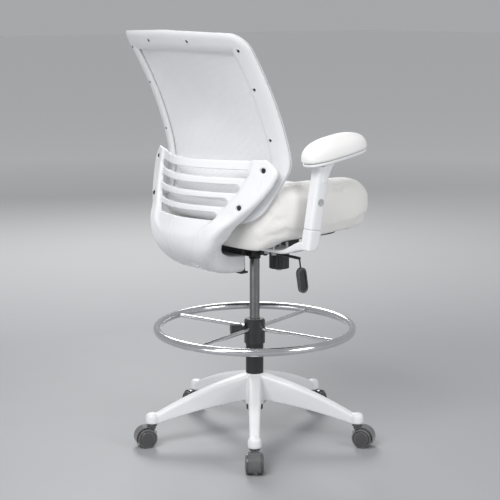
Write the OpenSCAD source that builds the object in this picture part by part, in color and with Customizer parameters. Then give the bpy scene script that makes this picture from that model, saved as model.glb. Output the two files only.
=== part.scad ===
// Drafting chair: five-arm base on twin casters, gas lift, foot ring, tilt housing,
// cushioned seat, mesh back on a slotted spine shell, and two height-adjustable arms.
// Millimetres. The origin is on the floor on the column axis.
// +X is the sitter's right, +Y is forward and +Z is up.

/* [Base and casters] */
// Radius of the circle through the caster stems
stem_circle_r = 300; // [285:5:315]
// Height of the hub's top rim above the floor
hub_top_z = 187; // [182:1:190]
// Radius of a caster wheel
wheel_r = 27.5; // [26:0.5:28]
// Width of one caster wheel
wheel_w = 16.5; // [14:0.5:17]
// Distance from the caster's swivel axis to its axle
caster_trail = 18; // [15:1:20]

/* [Column and foot ring] */
// Radius of the outer column tube
column_r = 25; // [24.5:0.1:25.5]
// Height of the outer column tube's top
column_top_z = 341; // [338:1:343]
// Radius of the gas lift's pressure tube
tube_r = 14; // [13.8:0.1:14.2]
// Radius of the foot ring's centreline
ring_r = 275; // [255:5:285]
// Radius of the foot ring's tube
ring_tube_r = 11; // [9:0.5:12.5]
// Height of the foot ring's centreline
ring_z = 317; // [312:1:322]

/* [Seat and arms] */
// Width of the seat cushion
seat_w = 488; // [470:2:496]
// Distance from the column axis to the cushion's front
seat_front = 256; // [252:2:264]
// Height of the cushion's underside
seat_bottom_z = 577; // [577:1:578]
// Height of the cushion's top at its middle
seat_top_z = 712; // [706:1:720]
// Distance from the middle to an arm post's centreline
arm_x = 283.5; // [281:0.5:290]
// Length of an arm pad
pad_l = 212; // [190:2:230]
// Width of an arm pad
pad_w = 80; // [70:1:90]

/* [Back] */
// Height of the top rail's centreline at the middle
back_top_z = 1124; // [1100:2:1140]
// Half the distance between the side rails' centrelines
back_half_w = 224; // [223:1:225]
// Width of the back frame's rail
rail_w = 50; // [46:1:52]
// Height of the upper edge of the top slot in the spine shell
slot_top_z = 793; // [791:1:794]

/* [Hidden] */
$fn = 48;
eps = 0.01;
leg_angles = [for (k = [0:4]) -40 + 72 * k];

// Base
leg_w_hub = 38;
leg_w_tip = 27;
hub_r = 35;
hub_bottom_z = 106;
cap_r = 18.5;
cap_bottom_z = 66;
cap_top_z = 94;
column_taper = 1.6;
column_bottom_z = 80;
fit_gap = 0.08;

// Casters
stem_r = 5.5;
axle_r = 3;
hood_w = 34;
hood_web = 12;
hood_r = 31.5;
hood_wall = 2.2;

// Gas lift
bush_z = 262;
rod_r = 5;
tube_bottom_z = 235;
tube_top_z = 540;
taper_z = 500;
socket_r = 16.5;
socket_bottom_z = 516;

// Foot ring
spoke_r = 5.5;
ring_hub_r = 29.5;
ring_hub_bottom_z = 274;
ring_hub_top_z = 344;
knob_angle = 240;

// Tilt housing
housing_w = 72;
housing_rear = -45;
housing_front = 134;
housing_bottom_z = 530;
housing_top_z = 566;
sheet = 3;
pivot_y = -30;
pivot_z = 560;
pivot_r = 5;
bolt_y = 91;
knob_r = 28.5;
knob_bottom_z = 477;
knob_top_z = 527;
lever_y = -12;
lever_z = 546;
lever_r = 4;
lever_end_x = 200;
lock_r = 10;

// Seat plate, board and bracket
plate_bottom_z = 572.7;
board_h = 12;
seat_rear = -170;
seat_square = 4.8;
seat_gap = 29;
bolster_h = 42;
front_fall = 12;
rear_fall = 6;
under_rise = 32;
front_rise = 44;
rear_drop = 14;
bracket_y = -90;
bracket_bolt_y = -103;
bracket_bottom_z = 571;
bolt_r = 4;

// Arms
arm_lean = 10.2;
arm_foot_z = 565;
post_top = 190;
sleeve_bottom = 48;
sleeve_top = 218;
arm_base_y = -51;
arm_base_z = 590;
button_h = 122;
post_w = 34;
post_l = 43;
toe_r = 20;
pad_h = 53;
pad_rise = 9;

// Back surface: a hyperbola in side view, curled back towards the top, wrapped in plan
elbow_y = -156;
elbow_z = 800;
elbow_soft = 25;
slope_up = 0.22;
slope_down = 0.33;
top_curl = 0.0007;
back_plan_r = 650;
slot_h = 20;
frame_d = 14;
mesh_d = 14.7;
mesh_t = 0.8;
bezel_d = 16.2;
bezel_t = 8;

// ---------------------------------------------------------------- helpers

function unit(v) = v / norm(v);
function lerp(a, b, t) = a + (b - a) * t;
function clamp01(t) = min(1, max(0, t));
function smooth(t) = let (u = clamp01(t)) u * u * (3 - 2 * u);
function wrap(x, r) = r - sqrt(r * r - x * x);

// Height profile of the back's rear surface at the middle
function back_y(z) = let (v = z - elbow_z)
  elbow_y - (slope_up - slope_down) / 2 * v
  - (slope_up + slope_down) / 2 * sqrt(v * v + elbow_soft * elbow_soft)
  - top_curl * pow(max(v, 0), 2);
function back_surface(x, z) = back_y(z) + wrap(x, back_plan_r);

// An arc that rounds the corner at p1 between p0 and p2, as n + 1 points
function corner(p0, p1, p2, r, n) = let (
    a = unit(p0 - p1), b = unit(p2 - p1), ang = acos(a * b),
    c = p1 + unit(a + b) * r / sin(ang / 2), d = r / tan(ang / 2),
    s = p1 + a * d - c, e = p1 + b * d - c, turn = 180 - ang)
  [for (i = [0:n]) c + (sin(turn * (1 - i / n)) * s + sin(turn * i / n) * e) / sin(turn)];

// Adds points so that no step of a closed path is longer than step
function subdivide(path, step) = let (n = len(path)) [for (i = [0:n - 1])
  let (a = path[i], b = path[(i + 1) % n], k = max(1, ceil(norm(b - a) / step)))
    for (j = [0:k - 1]) lerp(a, b, j / k)];

// Outline of the back frame's rail centreline, in X and Z
rail_corners = [
  [[0, back_top_z], 900], [[back_half_w + 5, back_top_z - 6], 16], [[back_half_w + 10, elbow_z], 110],
  [[184, 677], 48], [[-184, 677], 48], [[-back_half_w - 10, elbow_z], 110],
  [[-back_half_w - 5, back_top_z - 6], 16]];
rail_path = let (n = len(rail_corners)) subdivide([for (i = [0:n - 1])
  each corner(rail_corners[(i + n - 1) % n][0], rail_corners[i][0],
    rail_corners[(i + 1) % n][0], rail_corners[i][1], 5)], 20);

function path_out(path, i) = let (n = len(path), t = unit(path[(i + 1) % n] - path[(i + n - 1) % n]))
  [-t[1], t[0]];

// Faces of a closed tube of n rings with m points each
function ring_faces(n, m) = [for (i = [0:n - 1], j = [0:m - 1])
  let (a = i * m + j, b = i * m + (j + 1) % m, c = ((i + 1) % n) * m + (j + 1) % m,
    d = ((i + 1) % n) * m + j)
    each [[a, b, c], [a, c, d]]];

// A rail that follows the back outline: section points are [outward, forward] offsets
module back_ring(section) {
  n = len(rail_path);
  m = len(section);
  points = [for (i = [0:n - 1], s = section)
    let (q = rail_path[i] + path_out(rail_path, i) * s[0])
      [q[0], back_surface(q[0], q[1]) + s[1], q[1]]];
  polyhedron(points = points, faces = ring_faces(n, m), convexity = 6);
}

// Faces of a closed sheet of (n + 1) by (m + 1) points a side, the front layer second
function sheet_faces(n, m) = let (w = m + 1, off = (n + 1) * w) concat(
  [for (i = [0:n - 1], j = [0:m - 1]) let (a = i * w + j, b = a + 1, c = a + w + 1, d = a + w)
    each [[a, b, c], [a, c, d]]],
  [for (i = [0:n - 1], j = [0:m - 1]) let (a = off + i * w + j, b = a + 1, c = a + w + 1, d = a + w)
    each [[a, c, b], [a, d, c]]],
  [for (i = [0:n - 1], k = [0, 1]) let (a = i * w + k * m, d = a + w)
    each k == 0 ? [[a, d, off + a], [d, off + d, off + a]] : [[a, off + a, d], [d, off + a, off + d]]],
  [for (j = [0:m - 1], k = [0, 1]) let (a = k * n * w + j, b = a + 1)
    each k == 0 ? [[a, off + a, b], [b, off + a, off + b]] : [[a, b, off + a], [b, off + b, off + a]]]);

// Faces of a solid of n stacked rings with m points each, then a bottom and a top point
function ring_stack_faces(n, m) = concat(
  [for (i = [0:n - 2], j = [0:m - 1])
    let (a = i * m + j, b = i * m + (j + 1) % m) each [[a, b + m, b], [a, a + m, b + m]]],
  [for (j = [0:m - 1]) let (k = (j + 1) % m)
    each [[n * m, j, k], [n * m + 1, (n - 1) * m + k, (n - 1) * m + j]]]);

// A rectangle with rounded corners, centred
module rounded(w, h, r) {
  union() {
    square([w - 2 * r, h], center = true);
    square([w, h - 2 * r], center = true);
    for (x = [-1, 1], y = [-1, 1])
      translate([x * (w / 2 - r), y * (h / 2 - r)]) circle(r);
  }
}

module tube(outer, inner, h) {
  difference() {
    cylinder(r = outer, h = h);
    translate([0, 0, -1]) cylinder(r = inner, h = h + 2);
  }
}

// A cylinder along +Y from the given point
module along_y(r, h) {
  rotate([-90, 0, 0]) cylinder(r = r, h = h);
}

// A cylinder along +X from the given point
module along_x(r, h) {
  rotate([0, 90, 0]) cylinder(r = r, h = h);
}

// ---------------------------------------------------------------- base and column

function leg_top(t) = hub_top_z - 55 * t - 42 * t * t;
function leg_bottom(t) = hub_bottom_z + 6 - 20 * t - 28 * t * t;

// One leg along +X: a side outline cut to a tapering plan
module leg() {
  r0 = 20;
  r1 = stem_circle_r - 8;
  steps = 10;
  outline = concat(
    [for (i = [0:steps]) [lerp(r0, r1, i / steps), leg_top(i / steps)]],
    [for (i = [steps:-1:0]) [lerp(r0, r1, i / steps), leg_bottom(i / steps)]]);
  plan = [[r0, -leg_w_hub / 2], [r1, -leg_w_tip / 2], [r1, leg_w_tip / 2], [r0, leg_w_hub / 2]];
  intersection() {
    translate([0, leg_w_hub, 0]) rotate([90, 0, 0]) linear_extrude(2 * leg_w_hub) polygon(outline);
    linear_extrude(hub_top_z + 5) polygon(plan);
  }
}

module column_cone(grow) {
  translate([0, 0, column_bottom_z])
    cylinder(r1 = column_r - column_taper + grow, r2 = column_r + grow, h = hub_top_z - column_bottom_z);
}

module base_star() {
  color("white") difference() {
    union() {
      translate([0, 0, hub_bottom_z]) cylinder(r = hub_r, h = 40);
      translate([0, 0, hub_bottom_z + 40 - eps])
        cylinder(r1 = hub_r, r2 = column_r + 3, h = hub_top_z - hub_bottom_z - 40 + eps);
      translate([0, 0, hub_bottom_z - 8]) cylinder(r = hub_r - 3, h = 10);
      for (a = leg_angles) rotate([0, 0, a]) {
        leg();
        translate([stem_circle_r, 0, cap_bottom_z]) {
          cylinder(r1 = cap_r, r2 = cap_r - 1.5, h = cap_top_z - cap_bottom_z - 8);
          translate([0, 0, cap_top_z - cap_bottom_z - 8 - eps])
            cylinder(r1 = cap_r - 1.5, r2 = cap_r - 6.5, h = 8);
        }
      }
    }
    column_cone(0.1);
    for (a = leg_angles) rotate([0, 0, a])
      translate([stem_circle_r, 0, cap_bottom_z - 1]) cylinder(r = stem_r + fit_gap, h = 22);
  }
}

module column_tube() {
  color("black") difference() {
    union() {
      column_cone(0);
      translate([0, 0, hub_top_z - eps]) cylinder(r = column_r, h = column_top_z - hub_top_z + eps);
    }
    translate([0, 0, column_bottom_z + sheet]) cylinder(r = column_r - sheet, h = column_top_z);
    translate([0, 0, column_bottom_z - 1]) cylinder(r = rod_r + fit_gap, h = 5);
  }
}

module guide_bush() {
  color("dimgray") translate([0, 0, bush_z]) {
    tube(column_r - sheet - 0.1, tube_r + fit_gap, column_top_z - bush_z);
    translate([0, 0, column_top_z - bush_z + 0.1]) tube(column_r - 0.6, tube_r + fit_gap, 2.4);
    translate([0, 0, column_top_z - bush_z - eps]) tube(column_r - sheet - 0.2, tube_r + fit_gap, 0.2);
  }
}

module column_clip() {
  color("silver") translate([0, 0, column_bottom_z - 3.2]) tube(11, 4.1, 1.6);
}

module piston_rod() {
  color("gainsboro") {
    translate([0, 0, column_bottom_z - 5]) cylinder(r = 4, h = 6);
    translate([0, 0, column_bottom_z + 1 - eps]) cylinder(r = rod_r, h = 309);
    translate([0, 0, column_bottom_z + 306]) cylinder(r = tube_r - 2.4, h = 12);
  }
}

module thrust_bearing() {
  color("silver") translate([0, 0, column_bottom_z + sheet + 0.2]) tube(15, rod_r + 0.1, 8);
}

module pressure_tube() {
  color("gray") difference() {
    union() {
      translate([0, 0, tube_bottom_z]) cylinder(r = tube_r, h = taper_z - tube_bottom_z);
      translate([0, 0, taper_z - eps])
        cylinder(r1 = tube_r, r2 = tube_r - 1, h = tube_top_z - taper_z + eps);
    }
    translate([0, 0, tube_bottom_z + 8]) cylinder(r = tube_r - 2, h = tube_top_z - tube_bottom_z - 20);
    translate([0, 0, tube_bottom_z - 1]) cylinder(r = rod_r + fit_gap, h = 10);
    translate([0, 0, tube_top_z - 13]) cylinder(r = 3.1, h = 20);
  }
}

module release_pin() {
  color("gold") translate([0, 0, tube_top_z - 8]) cylinder(r = 3, h = 20.7);
}

// ---------------------------------------------------------------- casters

// Places its children in one caster's own frame: the stem at the origin, +X outwards
module at_caster(k) {
  rotate([0, 0, leg_angles[k - 1]]) translate([stem_circle_r, 0, 0]) children();
}

module caster_hood(k) {
  hood_top = wheel_r + hood_r;
  color("dimgray") at_caster(k) difference() {
    union() {
      // fender over the wheels
      translate([caster_trail, hood_w / 2, wheel_r]) rotate([90, 0, 0]) difference() {
        cylinder(r = hood_r, h = hood_w);
        translate([0, 0, -1]) cylinder(r = hood_r - hood_wall, h = hood_w + 2);
        rotate([0, 0, -28]) translate([-2 * hood_r, -2 * hood_r, -1]) cube([4 * hood_r, 2 * hood_r, hood_w + 2]);
      }
      // web between the wheels
      translate([caster_trail, hood_web / 2, wheel_r]) rotate([90, 0, 0]) cylinder(r = 9, h = hood_web);
      translate([caster_trail - 9, -hood_web / 2, wheel_r]) cube([18, hood_web, hood_r - 1]);
      // boss that holds the stem
      translate([-3, -hood_web / 2, wheel_r]) cube([caster_trail, hood_web, hood_r - 3]);
      translate([0, 0, wheel_r + hood_r - 9]) cylinder(r = 10, h = 9);
      translate([0, 0, hood_top - eps]) cylinder(r = 14, h = 3);
    }
    translate([0, 0, wheel_r + 6]) cylinder(r = stem_r + 0.02, h = 60);
    translate([caster_trail, 20, wheel_r]) rotate([90, 0, 0]) cylinder(r = axle_r + 0.02, h = 40);
    // room for the wheels
    for (s = [-1, 1]) translate([caster_trail, s * (hood_web / 2 + 0.5), wheel_r])
      rotate([-90 * s, 0, 0]) cylinder(r = wheel_r + 1.2, h = 40);
  }
}

module caster_pins(k) {
  color("silver") at_caster(k) {
    translate([0, 0, wheel_r + 6.2]) cylinder(r = stem_r, h = 86 - wheel_r - 6.2);
    translate([caster_trail, wheel_w + 4.8, wheel_r]) rotate([90, 0, 0]) cylinder(r = axle_r, h = 2 * wheel_w + 9.6);
  }
}

module caster_wheel(k, side) {
  color("gray") at_caster(k) translate([caster_trail, side * (hood_web / 2 + 1), wheel_r])
    rotate([-90 * side, 0, 0]) difference() {
      union() {
        cylinder(r = wheel_r - 1.5, h = wheel_w);
        translate([0, 0, 1.5]) cylinder(r = wheel_r, h = wheel_w - 4);
      }
      translate([0, 0, -1]) cylinder(r = axle_r + fit_gap, h = wheel_w - 1);
      translate([0, 0, wheel_w - 1.2]) tube(wheel_r - 4, wheel_r - 6, 3);
    }
}

// ---------------------------------------------------------------- foot ring

module foot_ring() {
  color("silver") translate([0, 0, ring_z]) rotate_extrude($fn = 96)
    translate([ring_r, 0]) circle(ring_tube_r);
}

module ring_spokes() {
  color("silver") for (k = [0:3]) rotate([0, 0, 15 + 90 * k])
    translate([ring_hub_r - 4, 0, ring_z - 2]) along_x(spoke_r, ring_r - ring_tube_r - ring_hub_r + 5);
}

module ring_hub() {
  color("black") difference() {
    union() {
      translate([0, 0, ring_hub_bottom_z]) cylinder(r = ring_hub_r, h = ring_hub_top_z - ring_hub_bottom_z - 6);
      translate([0, 0, ring_hub_top_z - 6 - eps]) cylinder(r1 = ring_hub_r, r2 = ring_hub_r - 4, h = 5);
      rotate([0, 0, knob_angle]) translate([0, 0, ring_z - 4]) along_x(10, ring_hub_r + 6);
    }
    translate([0, 0, ring_hub_bottom_z - 1]) cylinder(r = column_r + fit_gap, h = 90);
    rotate([0, 0, knob_angle]) translate([0, 0, ring_z - 4]) along_x(4 + fit_gap, 60);
  }
}

module clamp_knob() {
  color("black") rotate([0, 0, knob_angle]) translate([column_r + 0.3, 0, ring_z - 4]) {
    along_x(4, 22);
    translate([ring_hub_r - column_r + 7, 0, 0]) difference() {
      along_x(15.5, 32);
      for (a = [0:60:300]) rotate([a, 0, 0]) translate([6, 0, 19]) along_x(5, 40);
    }
  }
}

// ---------------------------------------------------------------- tilt mechanism

module housing_hole_y(y, z, r) {
  translate([-60, y, z]) along_x(r, 120);
}

module mech_housing() {
  inner_w = housing_w - 2 * sheet;
  length = housing_front - housing_rear;
  color("black") difference() {
    union() {
      difference() {
        translate([-housing_w / 2, housing_rear, housing_bottom_z])
          cube([housing_w, length, housing_top_z - housing_bottom_z]);
        translate([-inner_w / 2, housing_rear + sheet, housing_bottom_z - 1])
          cube([inner_w, length, housing_top_z - housing_bottom_z + 1 - sheet]);
      }
      // floor around the taper socket
      translate([-inner_w / 2 - eps, housing_rear + eps, housing_bottom_z])
        cube([inner_w + 2 * eps, 72, sheet]);
      translate([0, 0, socket_bottom_z]) cylinder(r = socket_r, h = tube_top_z - socket_bottom_z);
    }
    translate([0, 0, taper_z]) cylinder(r1 = tube_r + 0.05, r2 = tube_r - 0.95, h = tube_top_z - taper_z);
    translate([0, 0, tube_top_z - 1]) cylinder(r = tube_r - 0.5, h = 5);
    housing_hole_y(pivot_y, pivot_z, pivot_r + fit_gap);
    // the lock sleeve passes the right side only
    translate([0, lever_y, lever_z]) along_x(lock_r + 0.3, 60);
    // slot for the tension bolt
    for (dy = [-5, 0, 4]) translate([0, bolt_y + dy, housing_top_z - 10]) cylinder(r = 7, h = 20);
  }
}

module seat_plate() {
  ear_h = plate_bottom_z - 534;
  color("black") difference() {
    union() {
      translate([-95, -64, plate_bottom_z]) cube([190, 204, 4]);
      for (s = [-1, 1]) translate([s * 40 - 2, -46, 534]) cube([4, 48, ear_h + eps]);
    }
    housing_hole_y(pivot_y, pivot_z, pivot_r + fit_gap);
    translate([0, lever_y, lever_z]) along_x(lock_r + 0.3, 60);
    translate([-60, lever_y, lever_z]) along_x(lock_r + 0.3, 50);
    for (x = [-80, 80], y = [-50, 120]) translate([x, y, plate_bottom_z - 1]) cylinder(r = bolt_r + 0.1, h = 8);
    translate([0, bolt_y, plate_bottom_z - 1]) cylinder(r = 5.1, h = 8);
  }
}

module tilt_pin() {
  color("silver") {
    translate([-46, pivot_y, pivot_z]) along_x(pivot_r, 92);
    for (s = [-1, 1]) translate([s * 45 - 1.5, pivot_y, pivot_z]) along_x(8, 3);
  }
}

// Compression spring from the knob's floor up to the housing's top plate
spring_r = 17;
wire_r = 2.2;
spring_turns = 6;
spring_z0 = knob_bottom_z + 4 + wire_r + 0.2;
spring_z1 = housing_top_z - sheet - wire_r - 0.2;
module tilt_spring() {
  per_turn = 14;
  n = per_turn * spring_turns;
  m = 6;
  points = [for (i = [0:n], j = [0:m - 1])
    let (a = 360 * i / per_turn, b = 360 * j / m, r = spring_r + wire_r * cos(b))
      [r * cos(a), bolt_y + r * sin(a), lerp(spring_z0, spring_z1, i / n) + wire_r * sin(b)]];
  sides = [for (i = [0:n - 1], j = [0:m - 1])
    let (a = i * m + j, b = i * m + (j + 1) % m) each [[a, b, b + m], [a, b + m, a + m]]];
  ends = [[for (j = [m - 1:-1:0]) j], [for (j = [0:m - 1]) n * m + j]];
  color("silver") polyhedron(points = points, faces = concat(sides, ends), convexity = 8);
}

module tension_knob() {
  color("black") translate([0, bolt_y, 0]) difference() {
    translate([0, 0, knob_bottom_z]) cylinder(r = knob_r, h = knob_top_z - knob_bottom_z);
    translate([0, 0, knob_bottom_z + 4]) cylinder(r = 22, h = 60);
    translate([0, 0, knob_bottom_z - 1]) cylinder(r = 5.05, h = 10);
    for (a = [0:24:336]) rotate([0, 0, a]) translate([knob_r + 1.6, 0, knob_bottom_z - 1])
      cylinder(r = 3, h = 44);
  }
}

module tension_bolt() {
  color("silver") translate([0, bolt_y, 0]) {
    translate([0, 0, knob_bottom_z - 2.5]) cylinder(r = 5, h = plate_bottom_z + 4 - knob_bottom_z + 2.5);
    translate([0, 0, knob_bottom_z - 6.5]) cylinder(r = 9, h = 6, $fn = 6);
    translate([0, 0, plate_bottom_z - 3.5]) cylinder(r = 8, h = 3.2);
  }
}

module lever_rod() {
  color("black") {
    translate([20, lever_y, lever_z]) along_x(lever_r, lever_end_x - 20);
    // flat finger over the release pin
    translate([20, lever_y - 5, lever_z - 3]) cube([5, 10, 13]);
    translate([-5, lever_y - 5, lever_z + 7]) cube([26, 22, 3]);
    // wire link that hangs from the rod's end
    translate([lever_end_x, lever_y, lever_z]) sphere(lever_r);
    translate([lever_end_x, lever_y, lever_z]) rotate([-170, 0, 0]) cylinder(r = 2.2, h = 34);
  }
}

module lever_paddle() {
  color("black") translate([lever_end_x, lever_y, lever_z]) rotate([10, 0, 0])
    translate([-4.5, 0, -62]) rotate([0, 90, 0]) difference() {
      union() {
        for (s = [-1, 1]) translate([s * 20.5, 0, 0]) cylinder(r = 15, h = 9);
        translate([-20.5, -15, 0]) cube([41, 30, 9]);
      }
      for (h = [-1, 7]) {
        for (s = [-1, 1]) translate([s * 19, 0, h]) cylinder(r = 10, h = 3);
        translate([-19, -10, h]) cube([38, 20, 3]);
      }
      translate([0, 0, 4.5]) rotate([0, -90, 0]) translate([0, 0, 27]) cylinder(r = 2.25, h = 20);
    }
}

module lock_sleeve() {
  color("dimgray") translate([44, lever_y, lever_z]) rotate([0, 90, 0]) {
    tube(lock_r, lever_r + fit_gap, 22);
    translate([0, 0, 14]) tube(lock_r + 3, lock_r - 2, 4);
  }
}

// ---------------------------------------------------------------- seat

board_x = 175;
board_rear = -112;
board_front = 205;
module board_outline(grow) {
  translate([0, (board_rear + board_front) / 2])
    rounded(2 * board_x + 2 * grow, board_front - board_rear + 2 * grow, 50);
}

bolt_places = concat(
  [for (x = [-80, 80], y = [-50, 120]) [x, y, 0]],
  [for (s = [-1, 1], x = [145, 175], y = [-80, -35]) [s * x, y, 0]],
  [for (x = [-35, 35]) [x, bracket_bolt_y, 0]]);

module seat_board() {
  color("burlywood") difference() {
    translate([0, 0, seat_bottom_z]) linear_extrude(board_h) board_outline(0);
    for (p = bolt_places) translate([p[0], p[1], seat_bottom_z - 1]) cylinder(r = bolt_r + 0.1, h = 20);
    translate([0, bolt_y, seat_bottom_z - 1]) cylinder(r = 6, h = 8);
  }
}

// Rounded rectangle in plan, as a superellipse around the given fraction of a turn
function seat_plan(a, f) = let (c = cos(a), d = sin(a), p = 2 / seat_square)
  [seat_w / 2 * f * sign(c) * pow(abs(c), p),
    (seat_rear + seat_front) / 2 + (seat_front - seat_rear) / 2 * f * sign(d) * pow(abs(d), p)];

// Height of the dished top: side bolsters, a falling front and a low middle
function seat_top(x, y) = seat_top_z
  + (bolster_h - rear_drop * smooth((90 - y) / 150)) * smooth((abs(x) - 80) / 110)
  - front_fall * smooth((y - 130) / 120) - rear_fall * smooth((-y - 60) / 90);
// Height of the underside, which rises outside the board and towards the front
function seat_under(x, y) = seat_bottom_z + under_rise * smooth((abs(x) - board_x) / 55)
  + front_rise * smooth((y - board_front + 5) / 42) * (1 - 0.3 * smooth((abs(x) - board_x) / 55));

// Rings from the middle of the underside to the middle of the top: plan size and height share
seat_rings = [[0.35, 0], [0.7, 0], [0.86, 0], [0.93, 0.015], [0.965, 0.07], [0.98, 0.17], [0.99, 0.35],
  [1, 0.56], [0.998, 0.72], [0.98, 0.85], [0.94, 0.94], [0.87, 0.99], [0.74, 1], [0.5, 1], [0.24, 1]];
seat_cols = 40;

module seat_cushion() {
  n = len(seat_rings);
  m = seat_cols;
  ring_points = [for (q = seat_rings, j = [0:m - 1])
    let (p = seat_plan(360 * j / m, q[0]), z = lerp(seat_under(p[0], p[1]), seat_top(p[0], p[1]), q[1]))
      [p[0], z > 640 ? max(p[1], back_surface(p[0], z) + seat_gap) : p[1], z]];
  mid_y = (seat_rear + seat_front) / 2;
  points = concat(ring_points, [[0, mid_y, seat_bottom_z], [0, mid_y, seat_top(0, mid_y)]]);
  color("white") difference() {
    polyhedron(points = points, faces = ring_stack_faces(n, m), convexity = 4);
    translate([0, 0, seat_bottom_z - 1]) linear_extrude(board_h + 1.5) board_outline(0.5);
    for (p = bolt_places) translate([p[0], p[1], seat_bottom_z]) cylinder(r = bolt_r + 1, h = 17);
  }
}

module seat_bolts() {
  color("silver") for (p = bolt_places) {
    head_z = abs(p[0]) > 100 ? arm_foot_z : (p[1] < -100 ? bracket_bottom_z : plate_bottom_z);
    translate([p[0], p[1], head_z - 5]) cylinder(r = 7, h = 4.8, $fn = 6);
    translate([p[0], p[1], head_z - 1]) cylinder(r = bolt_r, h = seat_bottom_z + board_h + 2 - head_z);
  }
}

module back_bracket() {
  color("black") difference() {
    union() {
      translate([-50, -150, bracket_bottom_z]) cube([100, 74, 5.8]);
      translate([-50, bracket_y, 490]) cube([100, 14, bracket_bottom_z - 490 + eps]);
      translate([-50, bracket_y, 490]) cube([100, 24, 5]);
    }
    for (x = [-35, 35]) translate([x, bracket_bolt_y, 565]) cylinder(r = bolt_r + 0.1, h = 20);
    for (x = [-25, 25]) translate([x, bracket_y - 1, 527]) along_y(bolt_r + 0.1, 20);
  }
}

// ---------------------------------------------------------------- spine shell

// Stations down the shell: y and z of the raised rear surface at the middle, half width,
// depth of the side walls, wall at the middle, half width of the panel, its recess at the
// sides, how far its middle bulges back, radius of the rolled edges, and share of the sweep
shell_stations = [
  [-231, 824, 230, 8, 7, 195, 7, 16, 6, 1],
  [-236, 796, 258, 12, 7, 195, 7, 17, 8, 1],
  [-244, 764, 254, 12, 7, 187, 8, 18, 8, 1],
  [-254, 732, 236, 14, 7, 174, 8, 14, 9, 1],
  [-264, 702, 214, 18, 8, 152, 9, 8, 10, 1],
  [-274, 672, 184, 28, 9, 132, 10, 2, 14, 1],
  [-281, 642, 157, 44, 10, 106, 6, 0, 18, 0.75],
  [-283, 612, 139, 58, 12, 60, 0, 0, 24, 0.6],
  [-275, 578, 124, 68, 16, 52, 0, 0, 28, 0.45],
  [-252, 545, 105, 68, 24, 48, 0, 0, 28, 0.3],
  [-214, 518, 87, 58, 34, 44, 0, 0, 26, 0.15],
  [-167, 503, 77, 50, 44, 40, 0, 0, 24, 0],
  [-125, 498, 72, 48, 47, 40, 0, 0, 22, 0],
  [bracket_y - 2.5, 497, 70, 48, 48, 40, 0, 0, 22, 0]];
shell_sub = 2;
shell_rows = (len(shell_stations) - 1) * shell_sub;
shell_half = 14;
shell_cols = 2 * shell_half;
panel_cols = 7;
panel_step = 11;
shell_crown = 10;
boss_r = 8.5;
boss_gap = 4.5;
wing_slope = 0.479;
wing_soft = 90;

function catmull(a, b, c, d, t) =
  0.5 * (2 * b + (c - a) * t + (2 * a - 5 * b + 4 * c - d) * t * t + (3 * b - a - 3 * c + d) * t * t * t);
function station(u) = let (n = len(shell_stations) - 1, i = min(floor(u), n - 1), t = u - i)
  catmull(shell_stations[max(i - 1, 0)], shell_stations[i], shell_stations[i + 1],
    shell_stations[min(i + 2, n)], t);
// Column positions across: even over the panel, then closer together towards the rolled edge
function shell_x(k, panel, half) = k <= panel_cols ? (panel - panel_step) * k / panel_cols
  : lerp(panel, half, 1 - pow(1 - (k - panel_cols - 1) / (shell_half - panel_cols - 1), 1.6));
// How far the wings sweep forward from the middle
function wing_sweep(x) = wing_slope * (sqrt(x * x + wing_soft * wing_soft) - wing_soft);

function shell_point(i, j, front) = let (
    u = i / shell_sub,
    s = station(u),
    s0 = station(max(i - 0.5, 0) / shell_sub),
    s1 = station(min(i + 0.5, shell_rows) / shell_sub),
    t = unit([s1[0] - s0[0], s1[1] - s0[1]]),
    normal = [-t[1], t[0]],
    k = abs(j - shell_half),
    x = sign(j - shell_half) * shell_x(k, s[5], s[2]),
    edge = max(0, abs(x) - (s[2] - s[8])) / s[8],
    roll = 0.8 * s[8] * (1 - sqrt(max(0, 1 - edge * edge))),
    panel = k <= panel_cols ? s[6] - s[7] * (1 - pow(x / (s[5] - panel_step), 2)) : 0,
    side = smooth((abs(x) - 0.55 * s[2]) / (0.35 * s[2])),
    rear = panel + roll,
    d = front ? max(panel + s[4], lerp(s[4], s[3], side), rear + 3) : rear,
    drop = shell_crown * max(0, 1 - u) * (1 - pow(x / s[2], 2)))
  [x, s[0] + s[9] * wing_sweep(x) + normal[0] * d, s[1] - drop + normal[1] * d];

// Half length and height above the floor of each slot, top to bottom
slots = [[187, slot_top_z - slot_h / 2], [167, slot_top_z - 38 - slot_h / 2],
  [144, slot_top_z - 75 - slot_h / 2], [121, slot_top_z - 111 - slot_h / 2]];
slot_y0 = -330;
shell_bolt_places = [for (s = [-1, 1], q = [[225, 795, -163], [184, 699, -211]]) [s * q[0], q[1], q[2]]];

module back_shell() {
  points = concat(
    [for (i = [0:shell_rows], j = [0:shell_cols]) shell_point(i, j, false)],
    [for (i = [0:shell_rows], j = [0:shell_cols]) shell_point(i, j, true)]);
  color("white") difference() {
    union() {
      polyhedron(points = points, faces = sheet_faces(shell_rows, shell_cols), convexity = 8);
      for (p = shell_bolt_places) translate([p[0], p[2] + 8, p[1]])
        along_y(boss_r, back_surface(p[0], p[1]) - boss_gap - p[2] - 8);
    }
    for (q = slots) translate([0, slot_y0, q[1]]) rotate([-90, 0, 0]) linear_extrude(200)
      rounded(2 * q[0], slot_h, slot_h / 2 - 0.5);
    for (p = shell_bolt_places) translate([p[0], p[2] - 10, p[1]]) {
      along_y(bolt_r + 0.1, 80);
      along_y(6.8, 18);
    }
    for (x = [-25, 25]) translate([x, -140, 527]) along_y(bolt_r + 0.1, 60);
  }
}

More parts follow.
